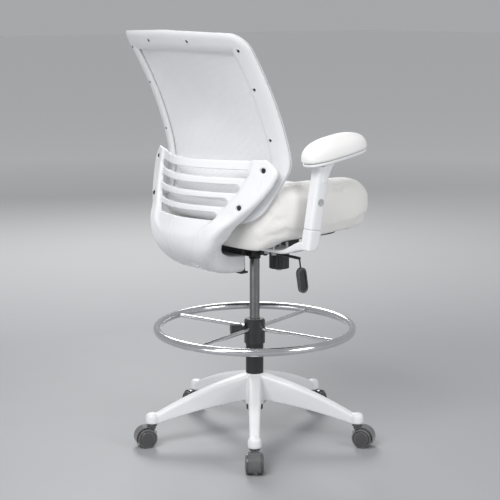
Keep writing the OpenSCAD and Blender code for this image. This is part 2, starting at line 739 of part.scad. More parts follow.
module shell_bolts() {
  color("dimgray") {
    for (p = shell_bolt_places) translate([p[0], p[2] + 2.5, p[1]]) {
      along_y(6.5, 5.3);
      along_y(bolt_r, back_surface(p[0], p[1]) + 9 - p[2]);
    }
    for (x = [-25, 25]) translate([x, -135, 527]) {
      along_y(bolt_r, 135 + bracket_y + 16);
      translate([0, 135 + bracket_y + 14.2, 0]) along_y(6.5, 4);
    }
  }
}

// ---------------------------------------------------------------- back frame and mesh

half_rail = rail_w / 2;
frame_section = [[-half_rail, 7], [-half_rail + 4, 3], [-half_rail / 2, 0.8], [0, 0], [half_rail / 2, 0.8],
  [half_rail - 4, 3], [half_rail, 7], [half_rail, frame_d - 2], [half_rail - 2, frame_d],
  [-half_rail + 2, frame_d], [-half_rail, frame_d - 2]];
bezel_section = [[-half_rail + 1, bezel_d], [half_rail - 1, bezel_d], [half_rail, bezel_d + 3],
  [half_rail - 6, bezel_d + bezel_t - 1], [0, bezel_d + bezel_t], [-half_rail + 8, bezel_d + bezel_t - 2],
  [-half_rail + 1, bezel_d + 3]];
screw_places = [for (s = [-1, 1], q = [[226.3, 1099.4], [82.7, 1120.6], [223.4, 1002.7], [223.6, 871.6], [81.4, 677.6]])
  [s * q[0], q[1]]];

module back_frame() {
  color("white") difference() {
    back_ring(frame_section);
    for (p = screw_places) translate([p[0], back_surface(p[0], p[1]) - 5, p[1]]) {
      along_y(2.2, 30);
      along_y(3.8, 8.5);
    }
    for (p = shell_bolt_places) translate([p[0], back_surface(p[0], p[1]) - 5, p[1]])
      along_y(bolt_r + 0.1, 30);
  }
}

module mesh_bezel() {
  color("white") difference() {
    back_ring(bezel_section);
    for (p = screw_places) translate([p[0], back_surface(p[0], p[1]) + bezel_d - 4, p[1]]) along_y(1.7, 10);
    for (p = shell_bolt_places) translate([p[0], back_surface(p[0], p[1]) + bezel_d - 4, p[1]])
      along_y(bolt_r + 1, 9);
  }
}

mesh_rows = 24;
mesh_cols = 14;
mesh_z0 = 684;
mesh_z1 = back_top_z - 10;
mesh_tension = 22;
window_half = 194;
window_taper = 0.44;
window_z0 = 714;
window_z1 = 1086;
function mesh_half(z) = z > elbow_z ? back_half_w - 10 : lerp(158, back_half_w - 10, (z - mesh_z0) / (elbow_z - mesh_z0));
function mesh_point(i, j, front) = let (
    z = lerp(mesh_z0, mesh_z1, i / mesh_rows), v = 2 * j / mesh_cols - 1, x = mesh_half(z) * v,
    across = max(0, 1 - pow(x / (window_half - window_taper * max(0, elbow_z - z)), 2)),
    up = clamp01((z - window_z0) / (window_z1 - window_z0)),
    push = mesh_tension * across * sin(180 * up))
  [x, back_surface(x, z) + mesh_d + (front ? mesh_t : 0) + push, z];

module back_mesh() {
  points = concat(
    [for (i = [mesh_rows:-1:0], j = [0:mesh_cols]) mesh_point(i, j, false)],
    [for (i = [mesh_rows:-1:0], j = [0:mesh_cols]) mesh_point(i, j, true)]);
  color("whitesmoke") difference() {
    polyhedron(points = points, faces = sheet_faces(mesh_rows, mesh_cols), convexity = 6);
    for (p = concat(screw_places, [for (q = shell_bolt_places) [q[0], q[1]]]))
      translate([p[0], back_surface(p[0], p[1]), p[1]]) along_y(5, 30);
  }
}

module frame_screws() {
  color("dimgray") for (p = screw_places) translate([p[0], back_surface(p[0], p[1]), p[1]]) {
    translate([0, 1, 0]) along_y(3.5, 2.4);
    along_y(1.6, 20.5);
  }
}

// ---------------------------------------------------------------- arms

// Places its children in the arm's own frame: the post's axis is Z, right side
module at_arm(side) {
  mirror([side < 0 ? 1 : 0, 0, 0])
    translate([arm_x, arm_base_y, arm_base_z]) rotate([-arm_lean, 0, 0]) children();
}

module post_section() {
  rounded(post_w, post_l, 12);
}

// Foot under the seat board and out to the post, as a side view in X and Z
foot_outline = [[125, arm_foot_z], [200, arm_foot_z], [250, arm_foot_z + 9], [276, arm_foot_z + 19],
  [276, arm_foot_z + 32], [250, arm_foot_z + 26], [205, seat_bottom_z - 0.2], [125, seat_bottom_z - 0.2]];

module arm_bracket(side) {
  color("white") difference() {
    union() {
      at_arm(side) difference() {
        union() {
          translate([0, 0, -7]) linear_extrude(sleeve_bottom - 0.4 + 7) post_section();
          translate([0, 0, -5]) linear_extrude(post_top + 5) rounded(24.4, 32, 7);
        }
        // rounded front of the elbow
        translate([-post_w, post_l / 2 - toe_r, -7 + toe_r]) rotate([0, 90, 0]) rotate([0, 0, 90])
          linear_extrude(2 * post_w) difference() {
            translate([0, -toe_r - 1]) square([toe_r + 1, toe_r + 1]);
            circle(toe_r);
          }
      }
      mirror([side < 0 ? 1 : 0, 0, 0]) translate([0, -26, 0]) rotate([90, 0, 0])
        linear_extrude(52) polygon(foot_outline);
      mirror([side < 0 ? 1 : 0, 0, 0])
        translate([125, -95, arm_foot_z]) cube([70, 80, seat_bottom_z - arm_foot_z - 0.2]);
    }
    // groove that the button's latch runs in
    at_arm(side) translate([6.5, -3.5, 60]) cube([12, 7, 150]);
    for (p = bolt_places) if (abs(p[0]) > 100)
      translate([p[0], p[1], arm_foot_z - 1]) cylinder(r = bolt_r + 0.1, h = 20);
  }
}

// The pad plate lies across the top of the sleeve and rises to the front
pad_y = 33.5;
pad_z = 826;
module at_pad(side) {
  mirror([side < 0 ? 1 : 0, 0, 0]) translate([arm_x + 1, pad_y, pad_z]) rotate([pad_rise, 0, 0]) children();
}

// Gusset in the pad's own frame, Y against Z: a quarter ellipse from the sleeve to the plate
gusset_y = -28;
gusset_l = 45;
gusset_h = 32;
gusset_outline = concat([[-60, 1], [-60, -gusset_h]],
  [for (a = [0:15:90]) [gusset_y + gusset_l * (1 - cos(a)), -gusset_h * (1 - sin(a))]],
  [[gusset_y + gusset_l, 1]]);

module arm_sleeve(side) {
  color("white") difference() {
    union() {
      at_arm(side) translate([0, 0, sleeve_bottom]) linear_extrude(sleeve_top - sleeve_bottom) post_section();
      at_pad(side) translate([0, 0, -9]) linear_extrude(8.8) rounded(pad_w - 10, pad_l - 10, 32);
      // gusset that flares from the sleeve's front to the plate
      at_pad(side) translate([-13, 0, -9 + eps]) rotate([90, 0, 90])
        linear_extrude(26) polygon(gusset_outline);
    }
    at_arm(side) {
      translate([0, 0, sleeve_bottom - 1]) linear_extrude(163) rounded(25, 32.6, 7.2);
      translate([10, 0, button_h]) along_x(9.6, 20);
    }
  }
}

// Crowned pad: a superquadric dome on a flat base with a tucked rim
pad_square = 2.7;
pad_cols = 28;
pad_rings = concat([[0.5, 0.2], [0.95, 0.2], [0.99, 2.5]],
  [for (a = [0:11.25:78.75]) [pow(cos(a), 2 / 2.8), 6 + (pad_h - 6) * pow(sin(a), 2 / 2.4)]]);

module arm_pad(side) {
  n = len(pad_rings);
  m = pad_cols;
  points = concat(
    [for (q = pad_rings, j = [0:m - 1]) let (a = 360 * j / m, c = cos(a), d = sin(a), p = 2 / pad_square)
      [pad_w / 2 * q[0] * sign(c) * pow(abs(c), p), pad_l / 2 * q[0] * sign(d) * pow(abs(d), p), q[1]]],
    [[0, 0, 0.2], [0, 0, pad_h]]);
  color("white") at_pad(side) polyhedron(points = points, faces = ring_stack_faces(n, m), convexity = 4);
}

module arm_button(side) {
  color("gray") at_arm(side) translate([0, 0, button_h]) {
    translate([15.2, 0, 0]) along_x(9.5, 3.2);
    translate([9.8, 0, 0]) along_x(2.8, 6);
  }
}

base_star();
column_tube();
guide_bush();
column_clip();
piston_rod();
thrust_bearing();
pressure_tube();
release_pin();
foot_ring();
ring_spokes();
ring_hub();
clamp_knob();
mech_housing();
seat_plate();
tilt_pin();
tilt_spring();
tension_knob();
tension_bolt();
lever_rod();
lever_paddle();
lock_sleeve();
seat_board();
seat_cushion();
back_bracket();
back_shell();
back_frame();
back_mesh();
mesh_bezel();
frame_screws();
shell_bolts();
seat_bolts();
arm_bracket(1);  // arm_bracket_right
arm_bracket(-1);  // arm_bracket_left
arm_sleeve(1);  // arm_sleeve_right
arm_sleeve(-1);  // arm_sleeve_left
arm_pad(1);  // arm_pad_right
arm_pad(-1);  // arm_pad_left
arm_button(1);  // arm_button_right
arm_button(-1);  // arm_button_left
caster_hood(1);  // caster_hood_1
caster_hood(2);  // caster_hood_2
caster_hood(3);  // caster_hood_3
caster_hood(4);  // caster_hood_4
caster_hood(5);  // caster_hood_5
caster_pins(1);  // caster_pins_1
caster_pins(2);  // caster_pins_2
caster_pins(3);  // caster_pins_3
caster_pins(4);  // caster_pins_4
caster_pins(5);  // caster_pins_5
caster_wheel(1, -1);  // caster_wheel_1a
caster_wheel(2, -1);  // caster_wheel_2a
caster_wheel(3, -1);  // caster_wheel_3a
caster_wheel(4, -1);  // caster_wheel_4a
caster_wheel(5, -1);  // caster_wheel_5a
caster_wheel(1, 1);  // caster_wheel_1b
caster_wheel(2, 1);  // caster_wheel_2b
caster_wheel(3, 1);  // caster_wheel_3b
caster_wheel(4, 1);  // caster_wheel_4b
caster_wheel(5, 1);  // caster_wheel_5b
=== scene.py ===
import math

import bmesh
import bpy
import numpy as np
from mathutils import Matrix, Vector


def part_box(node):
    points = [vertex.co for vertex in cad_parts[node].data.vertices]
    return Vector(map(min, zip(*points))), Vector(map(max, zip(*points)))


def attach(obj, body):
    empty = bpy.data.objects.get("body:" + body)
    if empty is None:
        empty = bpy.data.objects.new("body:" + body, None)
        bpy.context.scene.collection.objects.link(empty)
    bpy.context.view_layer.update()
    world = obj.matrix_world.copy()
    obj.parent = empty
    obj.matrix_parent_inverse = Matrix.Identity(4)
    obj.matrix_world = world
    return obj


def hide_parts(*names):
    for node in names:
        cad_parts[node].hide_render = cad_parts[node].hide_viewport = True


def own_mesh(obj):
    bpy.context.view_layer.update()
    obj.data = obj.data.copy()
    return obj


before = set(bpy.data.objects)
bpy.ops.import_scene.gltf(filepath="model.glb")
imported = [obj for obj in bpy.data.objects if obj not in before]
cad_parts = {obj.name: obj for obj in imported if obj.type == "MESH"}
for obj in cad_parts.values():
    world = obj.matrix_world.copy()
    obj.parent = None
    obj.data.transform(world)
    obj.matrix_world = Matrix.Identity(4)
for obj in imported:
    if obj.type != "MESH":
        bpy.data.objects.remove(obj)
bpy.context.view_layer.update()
scene = bpy.context.scene
mm = 0.001

# camera, floor and light

cameraLook = {"place": (2.773, -2.327, 1.218), "tilt": 79.37, "turn": 50.0, "lens": 95.04, "shift": -0.0092}
cameraData = bpy.data.cameras.new("chairCamera")
cameraData.lens = cameraLook["lens"]
cameraData.sensor_width = 36.0
cameraData.shift_x = cameraLook["shift"]
camera = bpy.data.objects.new("chairCamera", cameraData)
camera.location = cameraLook["place"]
camera.rotation_euler = (math.radians(cameraLook["tilt"]), 0, math.radians(cameraLook["turn"]))
scene.collection.objects.link(camera)
scene.camera = camera
scene.view_settings.view_transform = "Standard"

lampLook = {
    "keyLamp": {"place": (1.2, -3.0, 3.6), "size": 2.4, "power": 135},
    "sideLamp": {"place": (3.6, 0.9, 1.9), "size": 1.8, "power": 46},
    "rimLamp": {"place": (-2.8, 1.6, 2.6), "size": 1.6, "power": 70},
    "lowLamp": {"place": (0.4, -3.4, 0.6), "size": 1.6, "power": 12},
}
for lampName, look in lampLook.items():
    lampData = bpy.data.lights.new(lampName, "AREA")
    lampData.shape = "DISK"
    lampData.size = look["size"]
    lampData.energy = look["power"]
    lamp = bpy.data.objects.new(lampName, lampData)
    lamp.location = look["place"]
    aim = Vector((0, 0, 0.6)) - lamp.location
    lamp.rotation_euler = aim.to_track_quat("-Z", "Y").to_euler()
    scene.collection.objects.link(lamp)
world = bpy.data.worlds.new("softRoom")
world.use_nodes = True
world.node_tree.nodes["Background"].inputs["Color"].default_value = (0.64, 0.65, 0.67, 1)
world.node_tree.nodes["Background"].inputs["Strength"].default_value = 0.60
scene.world = world
print("camera and lamps placed")

# node groups shared by the finishes


def addNode(tree, kind, feeds=None, **settings):
    # a node with its settings, and each input linked to a socket or set to a value
    node = tree.nodes.new(kind)
    for key, value in settings.items():
        setattr(node, key, value)
    for key, value in (feeds or {}).items():
        if isinstance(value, bpy.types.NodeSocket):
            tree.links.new(value, node.inputs[key])
        else:
            node.inputs[key].default_value = value
    return node


def newGroup(name, feeds, results):
    # an empty node group with named float inputs and float outputs
    group = bpy.data.node_groups.new(name, "ShaderNodeTree")
    for label, value in feeds.items():
        socket = group.interface.new_socket(label, in_out="INPUT", socket_type="NodeSocketFloat")
        socket.default_value = value
    for label in results:
        group.interface.new_socket(label, in_out="OUTPUT", socket_type="NodeSocketFloat")
    return group, addNode(group, "NodeGroupInput"), addNode(group, "NodeGroupOutput")


def noiseFac(tree, coords, scale, detail=3.0, rough=0.55):
    return addNode(tree, "ShaderNodeTexNoise", {"Vector": coords, "Scale": scale, "Detail": detail,
                                                "Roughness": rough}).outputs["Fac"]


def math2(tree, operation, first, second, clamp=False):
    return addNode(tree, "ShaderNodeMath", {0: first, 1: second}, operation=operation, use_clamp=clamp).outputs[0]


def mapRange(tree, value, low, high, toLow=0.0, toHigh=1.0):
    return addNode(tree, "ShaderNodeMapRange", {"Value": value, "From Min": low, "From Max": high,
                                                "To Min": toLow, "To Max": toHigh}).outputs["Result"]


def objectCoords(tree):
    return addNode(tree, "ShaderNodeTexCoord").outputs["Object"]


# mould texture: fine spark-eroded grain with a slow wave of flow marks
mouldGroup, feed, result = newGroup("mouldTexture", {"Scale": 900.0}, ["Height", "Tone"])
coords = objectCoords(mouldGroup)
fine = noiseFac(mouldGroup, coords, feed.outputs["Scale"], 2.0)
slow = noiseFac(mouldGroup, coords, 7.0, 4.0)
cells = addNode(mouldGroup, "ShaderNodeTexVoronoi", {"Vector": coords, "Scale": feed.outputs["Scale"]})
height = math2(mouldGroup, "ADD", fine, math2(mouldGroup, "MULTIPLY", cells.outputs["Distance"], 0.6))
mouldGroup.links.new(height, result.inputs["Height"])
mouldGroup.links.new(mapRange(mouldGroup, slow, 0.3, 0.7), result.inputs["Tone"])

# edge wear: convex edges broken up by noise, from the pointiness of a dense mesh
edgeGroup, feed, result = newGroup("edgeRub", {"Start": 0.52, "End": 0.60}, ["Mask"])
coords = objectCoords(edgeGroup)
point = addNode(edgeGroup, "ShaderNodeNewGeometry").outputs["Pointiness"]
edge = addNode(edgeGroup, "ShaderNodeMapRange", {"Value": point, "From Min": feed.outputs["Start"],
                                                 "From Max": feed.outputs["End"]}).outputs["Result"]
broken = mapRange(edgeGroup, noiseFac(edgeGroup, coords, 60.0, 6.0, 0.7), 0.35, 0.65)
edgeGroup.links.new(math2(edgeGroup, "MULTIPLY", edge, broken, True), result.inputs["Mask"])

# dust: settles on faces that look up, in patches
dustGroup, feed, result = newGroup("dustSettle", {"Amount": 0.5}, ["Mask"])
coords = objectCoords(dustGroup)
normal = addNode(dustGroup, "ShaderNodeNewGeometry").outputs["Normal"]
upward = addNode(dustGroup, "ShaderNodeSeparateXYZ", {0: normal}).outputs["Z"]
patches = mapRange(dustGroup, noiseFac(dustGroup, coords, 14.0, 7.0, 0.65), 0.4, 0.75)
dust = math2(dustGroup, "MULTIPLY", mapRange(dustGroup, upward, 0.35, 1.0), patches, True)
dustGroup.links.new(math2(dustGroup, "MULTIPLY", dust, feed.outputs["Amount"], True), result.inputs["Mask"])

# hide grain: small rounded pebbles with creases between, and soft broad stretch marks
hideGroup, feed, result = newGroup("hideGrain", {"Scale": 520.0}, ["Height", "Crease", "Tone"])
coords = objectCoords(hideGroup)
warp = addNode(hideGroup, "ShaderNodeTexNoise", {"Vector": coords, "Scale": 90.0, "Detail": 2.0})
bent = addNode(hideGroup, "ShaderNodeMix", {"Factor": 0.012, "A": coords, "B": warp.outputs["Color"]},
               data_type="VECTOR")
bentOut = [s for s in bent.outputs if s.enabled][0]
pebble = addNode(hideGroup, "ShaderNodeTexVoronoi", {"Vector": bentOut, "Scale": feed.outputs["Scale"]},
                 feature="DISTANCE_TO_EDGE").outputs["Distance"]
rounded = mapRange(hideGroup, pebble, 0.0, 0.22)
soft = noiseFac(hideGroup, coords, 26.0, 4.0)
hideGroup.links.new(math2(hideGroup, "ADD", rounded, math2(hideGroup, "MULTIPLY", soft, 0.5)),
                    result.inputs["Height"])
hideGroup.links.new(mapRange(hideGroup, pebble, 0.10, 0.0), result.inputs["Crease"])
hideGroup.links.new(mapRange(hideGroup, noiseFac(hideGroup, coords, 5.0, 5.0), 0.35, 0.68), result.inputs["Tone"])

# woven net: two sets of threads in the sheet's own metres, over and under each other
netGroup, feed, result = newGroup("wovenNet", {"Pitch": 0.0030}, ["Height", "Hole", "Tone"])
sheetCoords = addNode(netGroup, "ShaderNodeUVMap", uv_map="sheetMetres").outputs["UV"]
split = addNode(netGroup, "ShaderNodeSeparateXYZ", {0: sheetCoords})
waves = []
for axis in ("X", "Y"):
    turns = math2(netGroup, "DIVIDE", split.outputs[axis], feed.outputs["Pitch"])
    angle = math2(netGroup, "MULTIPLY", turns, 2 * math.pi)
    waves.append(math2(netGroup, "COSINE", angle, 0.0))
across = math2(netGroup, "MULTIPLY", waves[0], waves[1])
threads = math2(netGroup, "MAXIMUM", waves[0], waves[1])
netGroup.links.new(math2(netGroup, "ADD", threads, math2(netGroup, "MULTIPLY", across, 0.5)),
                   result.inputs["Height"])
netGroup.links.new(mapRange(netGroup, threads, -0.2, -0.75), result.inputs["Hole"])
netGroup.links.new(mapRange(netGroup, noiseFac(netGroup, sheetCoords, 9.0, 3.0), 0.3, 0.7), result.inputs["Tone"])

# handling marks: long smears and specks that change the gloss of metal and hard plastic
smearGroup, feed, result = newGroup("handlingMarks", {"Scale": 18.0}, ["Smear", "Speck"])
coords = objectCoords(smearGroup)
stretched = addNode(smearGroup, "ShaderNodeMapping", {"Vector": coords, "Scale": (1.0, 1.0, 0.25)}).outputs[0]
smearNoise = noiseFac(smearGroup, stretched, feed.outputs["Scale"], 6.0, 0.7)
smearGroup.links.new(mapRange(smearGroup, smearNoise, 0.38, 0.72), result.inputs["Smear"])
specks = noiseFac(smearGroup, coords, 420.0, 2.0)
smearGroup.links.new(mapRange(smearGroup, specks, 0.62, 0.72), result.inputs["Speck"])

# finishes


def useGroup(tree, group, **feeds):
    node = addNode(tree, "ShaderNodeGroup", node_tree=group)
    for key, value in feeds.items():
        node.inputs[key].default_value = value
    return node


def mixColor(tree, factor, first, second):
    node = addNode(tree, "ShaderNodeMix", {"Factor": factor}, data_type="RGBA")
    for key, value in ((6, first), (7, second)):
        if isinstance(value, bpy.types.NodeSocket):
            tree.links.new(value, node.inputs[key])
        else:
            node.inputs[key].default_value = (*value, 1)
    return node.outputs[2]


def newFinish(name):
    material = bpy.data.materials.new(name)
    material.use_nodes = True
    return material, material.node_tree, material.node_tree.nodes["Principled BSDF"]


def addBump(tree, shader, heightSocket, distance, strength=1.0):
    bump = addNode(tree, "ShaderNodeBump", {"Height": heightSocket, "Distance": distance, "Strength": strength})
    tree.links.new(bump.outputs["Normal"], shader.inputs["Normal"])


def plasticFinish(name, color, shade, worn, gloss, grain=900.0, depth=0.00006, coat=0.0, dusty=0.3):
    # moulded plastic: two close tones, rubbed edges, dust on top, and gloss that varies with handling
    material, tree, shader = newFinish(name)
    mould = useGroup(tree, mouldGroup, Scale=grain)
    rub = useGroup(tree, edgeGroup)
    dusted = useGroup(tree, dustGroup, Amount=dusty)
    marks = useGroup(tree, smearGroup)
    tone = mixColor(tree, mould.outputs["Tone"], color, shade)
    tone = mixColor(tree, rub.outputs["Mask"], tone, worn)
    tree.links.new(mixColor(tree, dusted.outputs["Mask"], tone, (0.70, 0.69, 0.66)), shader.inputs["Base Color"])
    level = mapRange(tree, marks.outputs["Smear"], 0.0, 1.0, gloss - 0.04, gloss + 0.07)
    tree.links.new(math2(tree, "ADD", level, math2(tree, "MULTIPLY", dusted.outputs["Mask"], 0.25)),
                   shader.inputs["Roughness"])
    shader.inputs["Coat Weight"].default_value = coat
    shader.inputs["Coat Roughness"].default_value = 0.12
    addBump(tree, shader, mould.outputs["Height"], depth)
    return material


def metalFinish(name, color, tarnish, gloss, metallic=1.0, grain=1500.0, depth=0.00002):
    # plated or painted metal: smears and specks break up the shine
    material, tree, shader = newFinish(name)
    mould = useGroup(tree, mouldGroup, Scale=grain)
    marks = useGroup(tree, smearGroup, Scale=26.0)
    rub = useGroup(tree, edgeGroup)
    tone = mixColor(tree, marks.outputs["Smear"], color, tarnish)
    tree.links.new(mixColor(tree, rub.outputs["Mask"], tone, tuple(min(1, c * 1.12 + 0.004) for c in color)),
                   shader.inputs["Base Color"])
    level = mapRange(tree, marks.outputs["Smear"], 0.0, 1.0, gloss, gloss + 0.12)
    tree.links.new(math2(tree, "ADD", level, math2(tree, "MULTIPLY", marks.outputs["Speck"], 0.15)),
                   shader.inputs["Roughness"])
    shader.inputs["Metallic"].default_value = metallic
    addBump(tree, shader, mould.outputs["Height"], depth)
    return material


def hideFinish(name, color, shade, crease, gloss, grain=520.0, depth=0.00016):
    # coated fabric: pebbled grain, darker in its creases, with a soft sheen
    material, tree, shader = newFinish(name)
    hide = useGroup(tree, hideGroup, Scale=grain)
    dusted = useGroup(tree, dustGroup, Amount=0.22)
    tone = mixColor(tree, hide.outputs["Tone"], color, shade)
    tone = mixColor(tree, math2(tree, "MULTIPLY", hide.outputs["Crease"], 0.35), tone, crease)
    tree.links.new(mixColor(tree, dusted.outputs["Mask"], tone, (0.76, 0.74, 0.70)), shader.inputs["Base Color"])
    tree.links.new(mapRange(tree, hide.outputs["Tone"], 0.0, 1.0, gloss, gloss + 0.10), shader.inputs["Roughness"])
    shader.inputs["Sheen Weight"].default_value = 0.12
    shader.inputs["Sheen Roughness"].default_value = 0.4
    addBump(tree, shader, hide.outputs["Height"], depth)
    return material


def netFinish(name, color, shade):
    # stretched net: pale threads, darker and partly open between them
    material, tree, shader = newFinish(name)
    net = useGroup(tree, netGroup)
    tone = mixColor(tree, net.outputs["Tone"], color, shade)
    tree.links.new(mixColor(tree, net.outputs["Hole"], tone, (0.50, 0.51, 0.53)), shader.inputs["Base Color"])
    tree.links.new(mapRange(tree, net.outputs["Hole"], 0.0, 1.0, 1.0, 0.55), shader.inputs["Alpha"])
    shader.inputs["Roughness"].default_value = 0.72
    shader.inputs["Sheen Weight"].default_value = 0.25
    addBump(tree, shader, net.outputs["Height"], 0.0003)
    return material


def woodFinish(name, color, shade):
    # plywood: long fibres along X with thin plies up the edge, over the tones passed in
    material, tree, shader = newFinish(name)
    coordsHere = objectCoords(tree)
    fibres = addNode(tree, "ShaderNodeMapping", {"Vector": coordsHere, "Scale": (3.0, 60.0, 60.0)}).outputs[0]
    grainMask = mapRange(tree, noiseFac(tree, fibres, 6.0, 8.0, 0.7), 0.3, 0.7)
    plies = addNode(tree, "ShaderNodeTexWave", {"Vector": coordsHere, "Scale": 150.0, "Distortion": 0.6},
                    bands_direction="Z").outputs["Fac"]
    tone = mixColor(tree, grainMask, color, shade)
    tree.links.new(mixColor(tree, math2(tree, "MULTIPLY", plies, 0.35), tone, (0.03, 0.022, 0.018)),
                   shader.inputs["Base Color"])
    tree.links.new(mapRange(tree, grainMask, 0.0, 1.0, 0.6, 0.8), shader.inputs["Roughness"])
    addBump(tree, shader, grainMask, 0.0002)
    return material


whiteLook = {"color": (0.80, 0.805, 0.82), "shade": (0.77, 0.775, 0.79), "worn": (0.88, 0.88, 0.88)}
finishes = {
    "baseWhite": plasticFinish("baseWhite", gloss=0.34, dusty=0.45, **whiteLook),
    "shellWhite": plasticFinish("shellWhite", gloss=0.30, dusty=0.18, coat=0.15, **whiteLook),
    "frameWhite": plasticFinish("frameWhite", gloss=0.33, dusty=0.2, **whiteLook),
    "armWhite": plasticFinish("armWhite", gloss=0.30, dusty=0.2, coat=0.1, **whiteLook),
    "knobBlack": plasticFinish("knobBlack", (0.022, 0.022, 0.024), (0.028, 0.028, 0.03), (0.035, 0.035, 0.037),
                               0.42, 1100.0, 0.0001, 0.0, 0.12),
    "hubBlack": plasticFinish("hubBlack", (0.018, 0.018, 0.02), (0.022, 0.022, 0.024), (0.028, 0.028, 0.03),
                              0.30, 1000.0, 0.00005, 0.25, 0.10),
    "paddleBlack": plasticFinish("paddleBlack", (0.02, 0.02, 0.022), (0.03, 0.03, 0.032), (0.12, 0.12, 0.12),
                                 0.24, 1000.0, 0.00004, 0.35, 0.05),
    "hoodGray": plasticFinish("hoodGray", (0.10, 0.10, 0.105), (0.092, 0.092, 0.097), (0.12, 0.12, 0.125),
                              0.20, 1000.0, 0.00003, 0.6, 0.06),
    "wheelGray": plasticFinish("wheelGray", (0.07, 0.068, 0.07), (0.058, 0.057, 0.058), (0.3, 0.3, 0.3),
                               0.34, 900.0, 0.00006, 0.2, 0.10),
    "buttonGray": plasticFinish("buttonGray", (0.33, 0.335, 0.35), (0.28, 0.285, 0.3), (0.5, 0.5, 0.5),
                                0.38, 900.0, 0.00006, 0.0, 0.1),
    "bushBlack": plasticFinish("bushBlack", (0.05, 0.05, 0.052), (0.07, 0.07, 0.072), (0.15, 0.15, 0.15), 0.5),
    "columnBlack": metalFinish("columnBlack", (0.018, 0.018, 0.02), (0.022, 0.022, 0.024), 0.28, 0.0, 900.0, 0.00004),
    "housingBlack": metalFinish("housingBlack", (0.014, 0.014, 0.015), (0.028, 0.028, 0.028), 0.46, 0.0,
                                1300.0, 0.00010),
    "leverBlack": metalFinish("leverBlack", (0.02, 0.02, 0.022), (0.04, 0.04, 0.04), 0.35, 0.3),
    "tubeGray": metalFinish("tubeGray", (0.24, 0.24, 0.245), (0.225, 0.225, 0.23), 0.24, 0.9, 1300.0, 0.00002),
    "ringChrome": metalFinish("ringChrome", (0.78, 0.79, 0.80), (0.66, 0.67, 0.69), 0.07),
    "rodChrome": metalFinish("rodChrome", (0.72, 0.73, 0.74), (0.62, 0.62, 0.63), 0.14),
    "steelZinc": metalFinish("steelZinc", (0.52, 0.53, 0.55), (0.42, 0.42, 0.43), 0.34),
    "springSteel": metalFinish("springSteel", (0.25, 0.25, 0.26), (0.15, 0.14, 0.13), 0.38),
    "screwDark": metalFinish("screwDark", (0.06, 0.06, 0.065), (0.10, 0.10, 0.10), 0.36),
    "brassPin": metalFinish("brassPin", (0.55, 0.40, 0.16), (0.42, 0.30, 0.14), 0.3),
    # painted shade: the board's wood tones are near black so that the board reads as the shade under the seat
    "boardPaintedShade": woodFinish("boardPaintedShade", (0.075, 0.055, 0.042), (0.055, 0.04, 0.03)),
    "seatVinyl": hideFinish("seatVinyl", (0.87, 0.86, 0.84), (0.85, 0.835, 0.81), (0.70, 0.68, 0.64), 0.42),
    "padSkin": hideFinish("padSkin", (0.87, 0.865, 0.855), (0.85, 0.845, 0.835), (0.72, 0.71, 0.70), 0.46, 800.0,
                          0.00008),
    "netWhite": netFinish("netWhite", (0.88, 0.885, 0.90), (0.85, 0.855, 0.87)),
}
print("finishes made:", len(finishes))

nodeFinish = {
    "base_star": "baseWhite", "column_tube": "columnBlack", "guide_bush": "bushBlack", "column_clip": "steelZinc",
    "piston_rod": "rodChrome", "thrust_bearing": "steelZinc", "pressure_tube": "tubeGray",
    "release_pin": "brassPin", "foot_ring": "ringChrome", "ring_spokes": "ringChrome", "ring_hub": "hubBlack",
    "clamp_knob": "knobBlack", "mech_housing": "housingBlack", "seat_plate": "housingBlack",
    "tilt_pin": "steelZinc", "tilt_spring": "springSteel", "tension_knob": "knobBlack",
    "tension_bolt": "steelZinc", "lever_rod": "leverBlack", "lever_paddle": "paddleBlack",
    "lock_sleeve": "knobBlack", "seat_board": "boardPaintedShade", "seat_cushion": "seatVinyl",
    "back_bracket": "housingBlack", "back_shell": "shellWhite", "back_frame": "frameWhite",
    "back_mesh": "netWhite", "mesh_bezel": "frameWhite", "frame_screws": "screwDark",
    "shell_bolts": "screwDark", "seat_bolts": "steelZinc", "arm_bracket": "armWhite", "arm_sleeve": "armWhite",
    "arm_pad": "padSkin", "arm_button": "buttonGray", "caster_hood": "hoodGray", "caster_pins": "steelZinc",
    "caster_wheel": "wheelGray",
}
for nodeName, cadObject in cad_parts.items():
    key = max((k for k in nodeFinish if nodeName.startswith(k)), key=len)
    cadObject.data.materials.clear()
    cadObject.data.materials.append(finishes[nodeFinish[key]])

floorHalf = 40.0
floorMesh = bpy.data.meshes.new("floor")
floorMesh.from_pydata([(-floorHalf, -floorHalf, 0), (floorHalf, -floorHalf, 0), (floorHalf, floorHalf, 0),
                       (-floorHalf, floorHalf, 0)], [], [(0, 1, 2, 3)])
floor = bpy.data.objects.new("floor", floorMesh)
scene.collection.objects.link(floor)
floorMaterial, floorTree, floorShader = newFinish("floorPaintedGlow")
floorTone = mapRange(floorTree, noiseFac(floorTree, objectCoords(floorTree), 3.0, 4.0), 0.3, 0.7)
floorNear = mixColor(floorTree, floorTone, (0.345, 0.35, 0.362), (0.355, 0.36, 0.372))
# painted light: the floor goes from its own grey near the chair to near white far out, a painted backdrop glow that
# hides the horizon
distance = addNode(floorTree, "ShaderNodeVectorMath", {0: objectCoords(floorTree)}, operation="LENGTH").outputs["Value"]
floorTree.links.new(mixColor(floorTree, mapRange(floorTree, distance, 1.3, 7.0), floorNear, (0.95, 0.95, 0.95)),
                    floorShader.inputs["Base Color"])
floorShader.inputs["Roughness"].default_value = 0.6
floorMesh.materials.append(floorMaterial)

# mesh helpers


def gridFaces(rows, cols, wrapRows, wrapCols):
    # corner numbers of the quads between neighbouring rows and columns
    i = np.arange(rows if wrapRows else rows - 1)[:, None]
    j = np.arange(cols if wrapCols else cols - 1)[None, :]
    nextI, nextJ = (i + 1) % rows, (j + 1) % cols
    quad = np.stack([i * cols + j, i * cols + nextJ, nextI * cols + nextJ, nextI * cols + j], axis=-1)
    return quad.reshape(-1, 4)


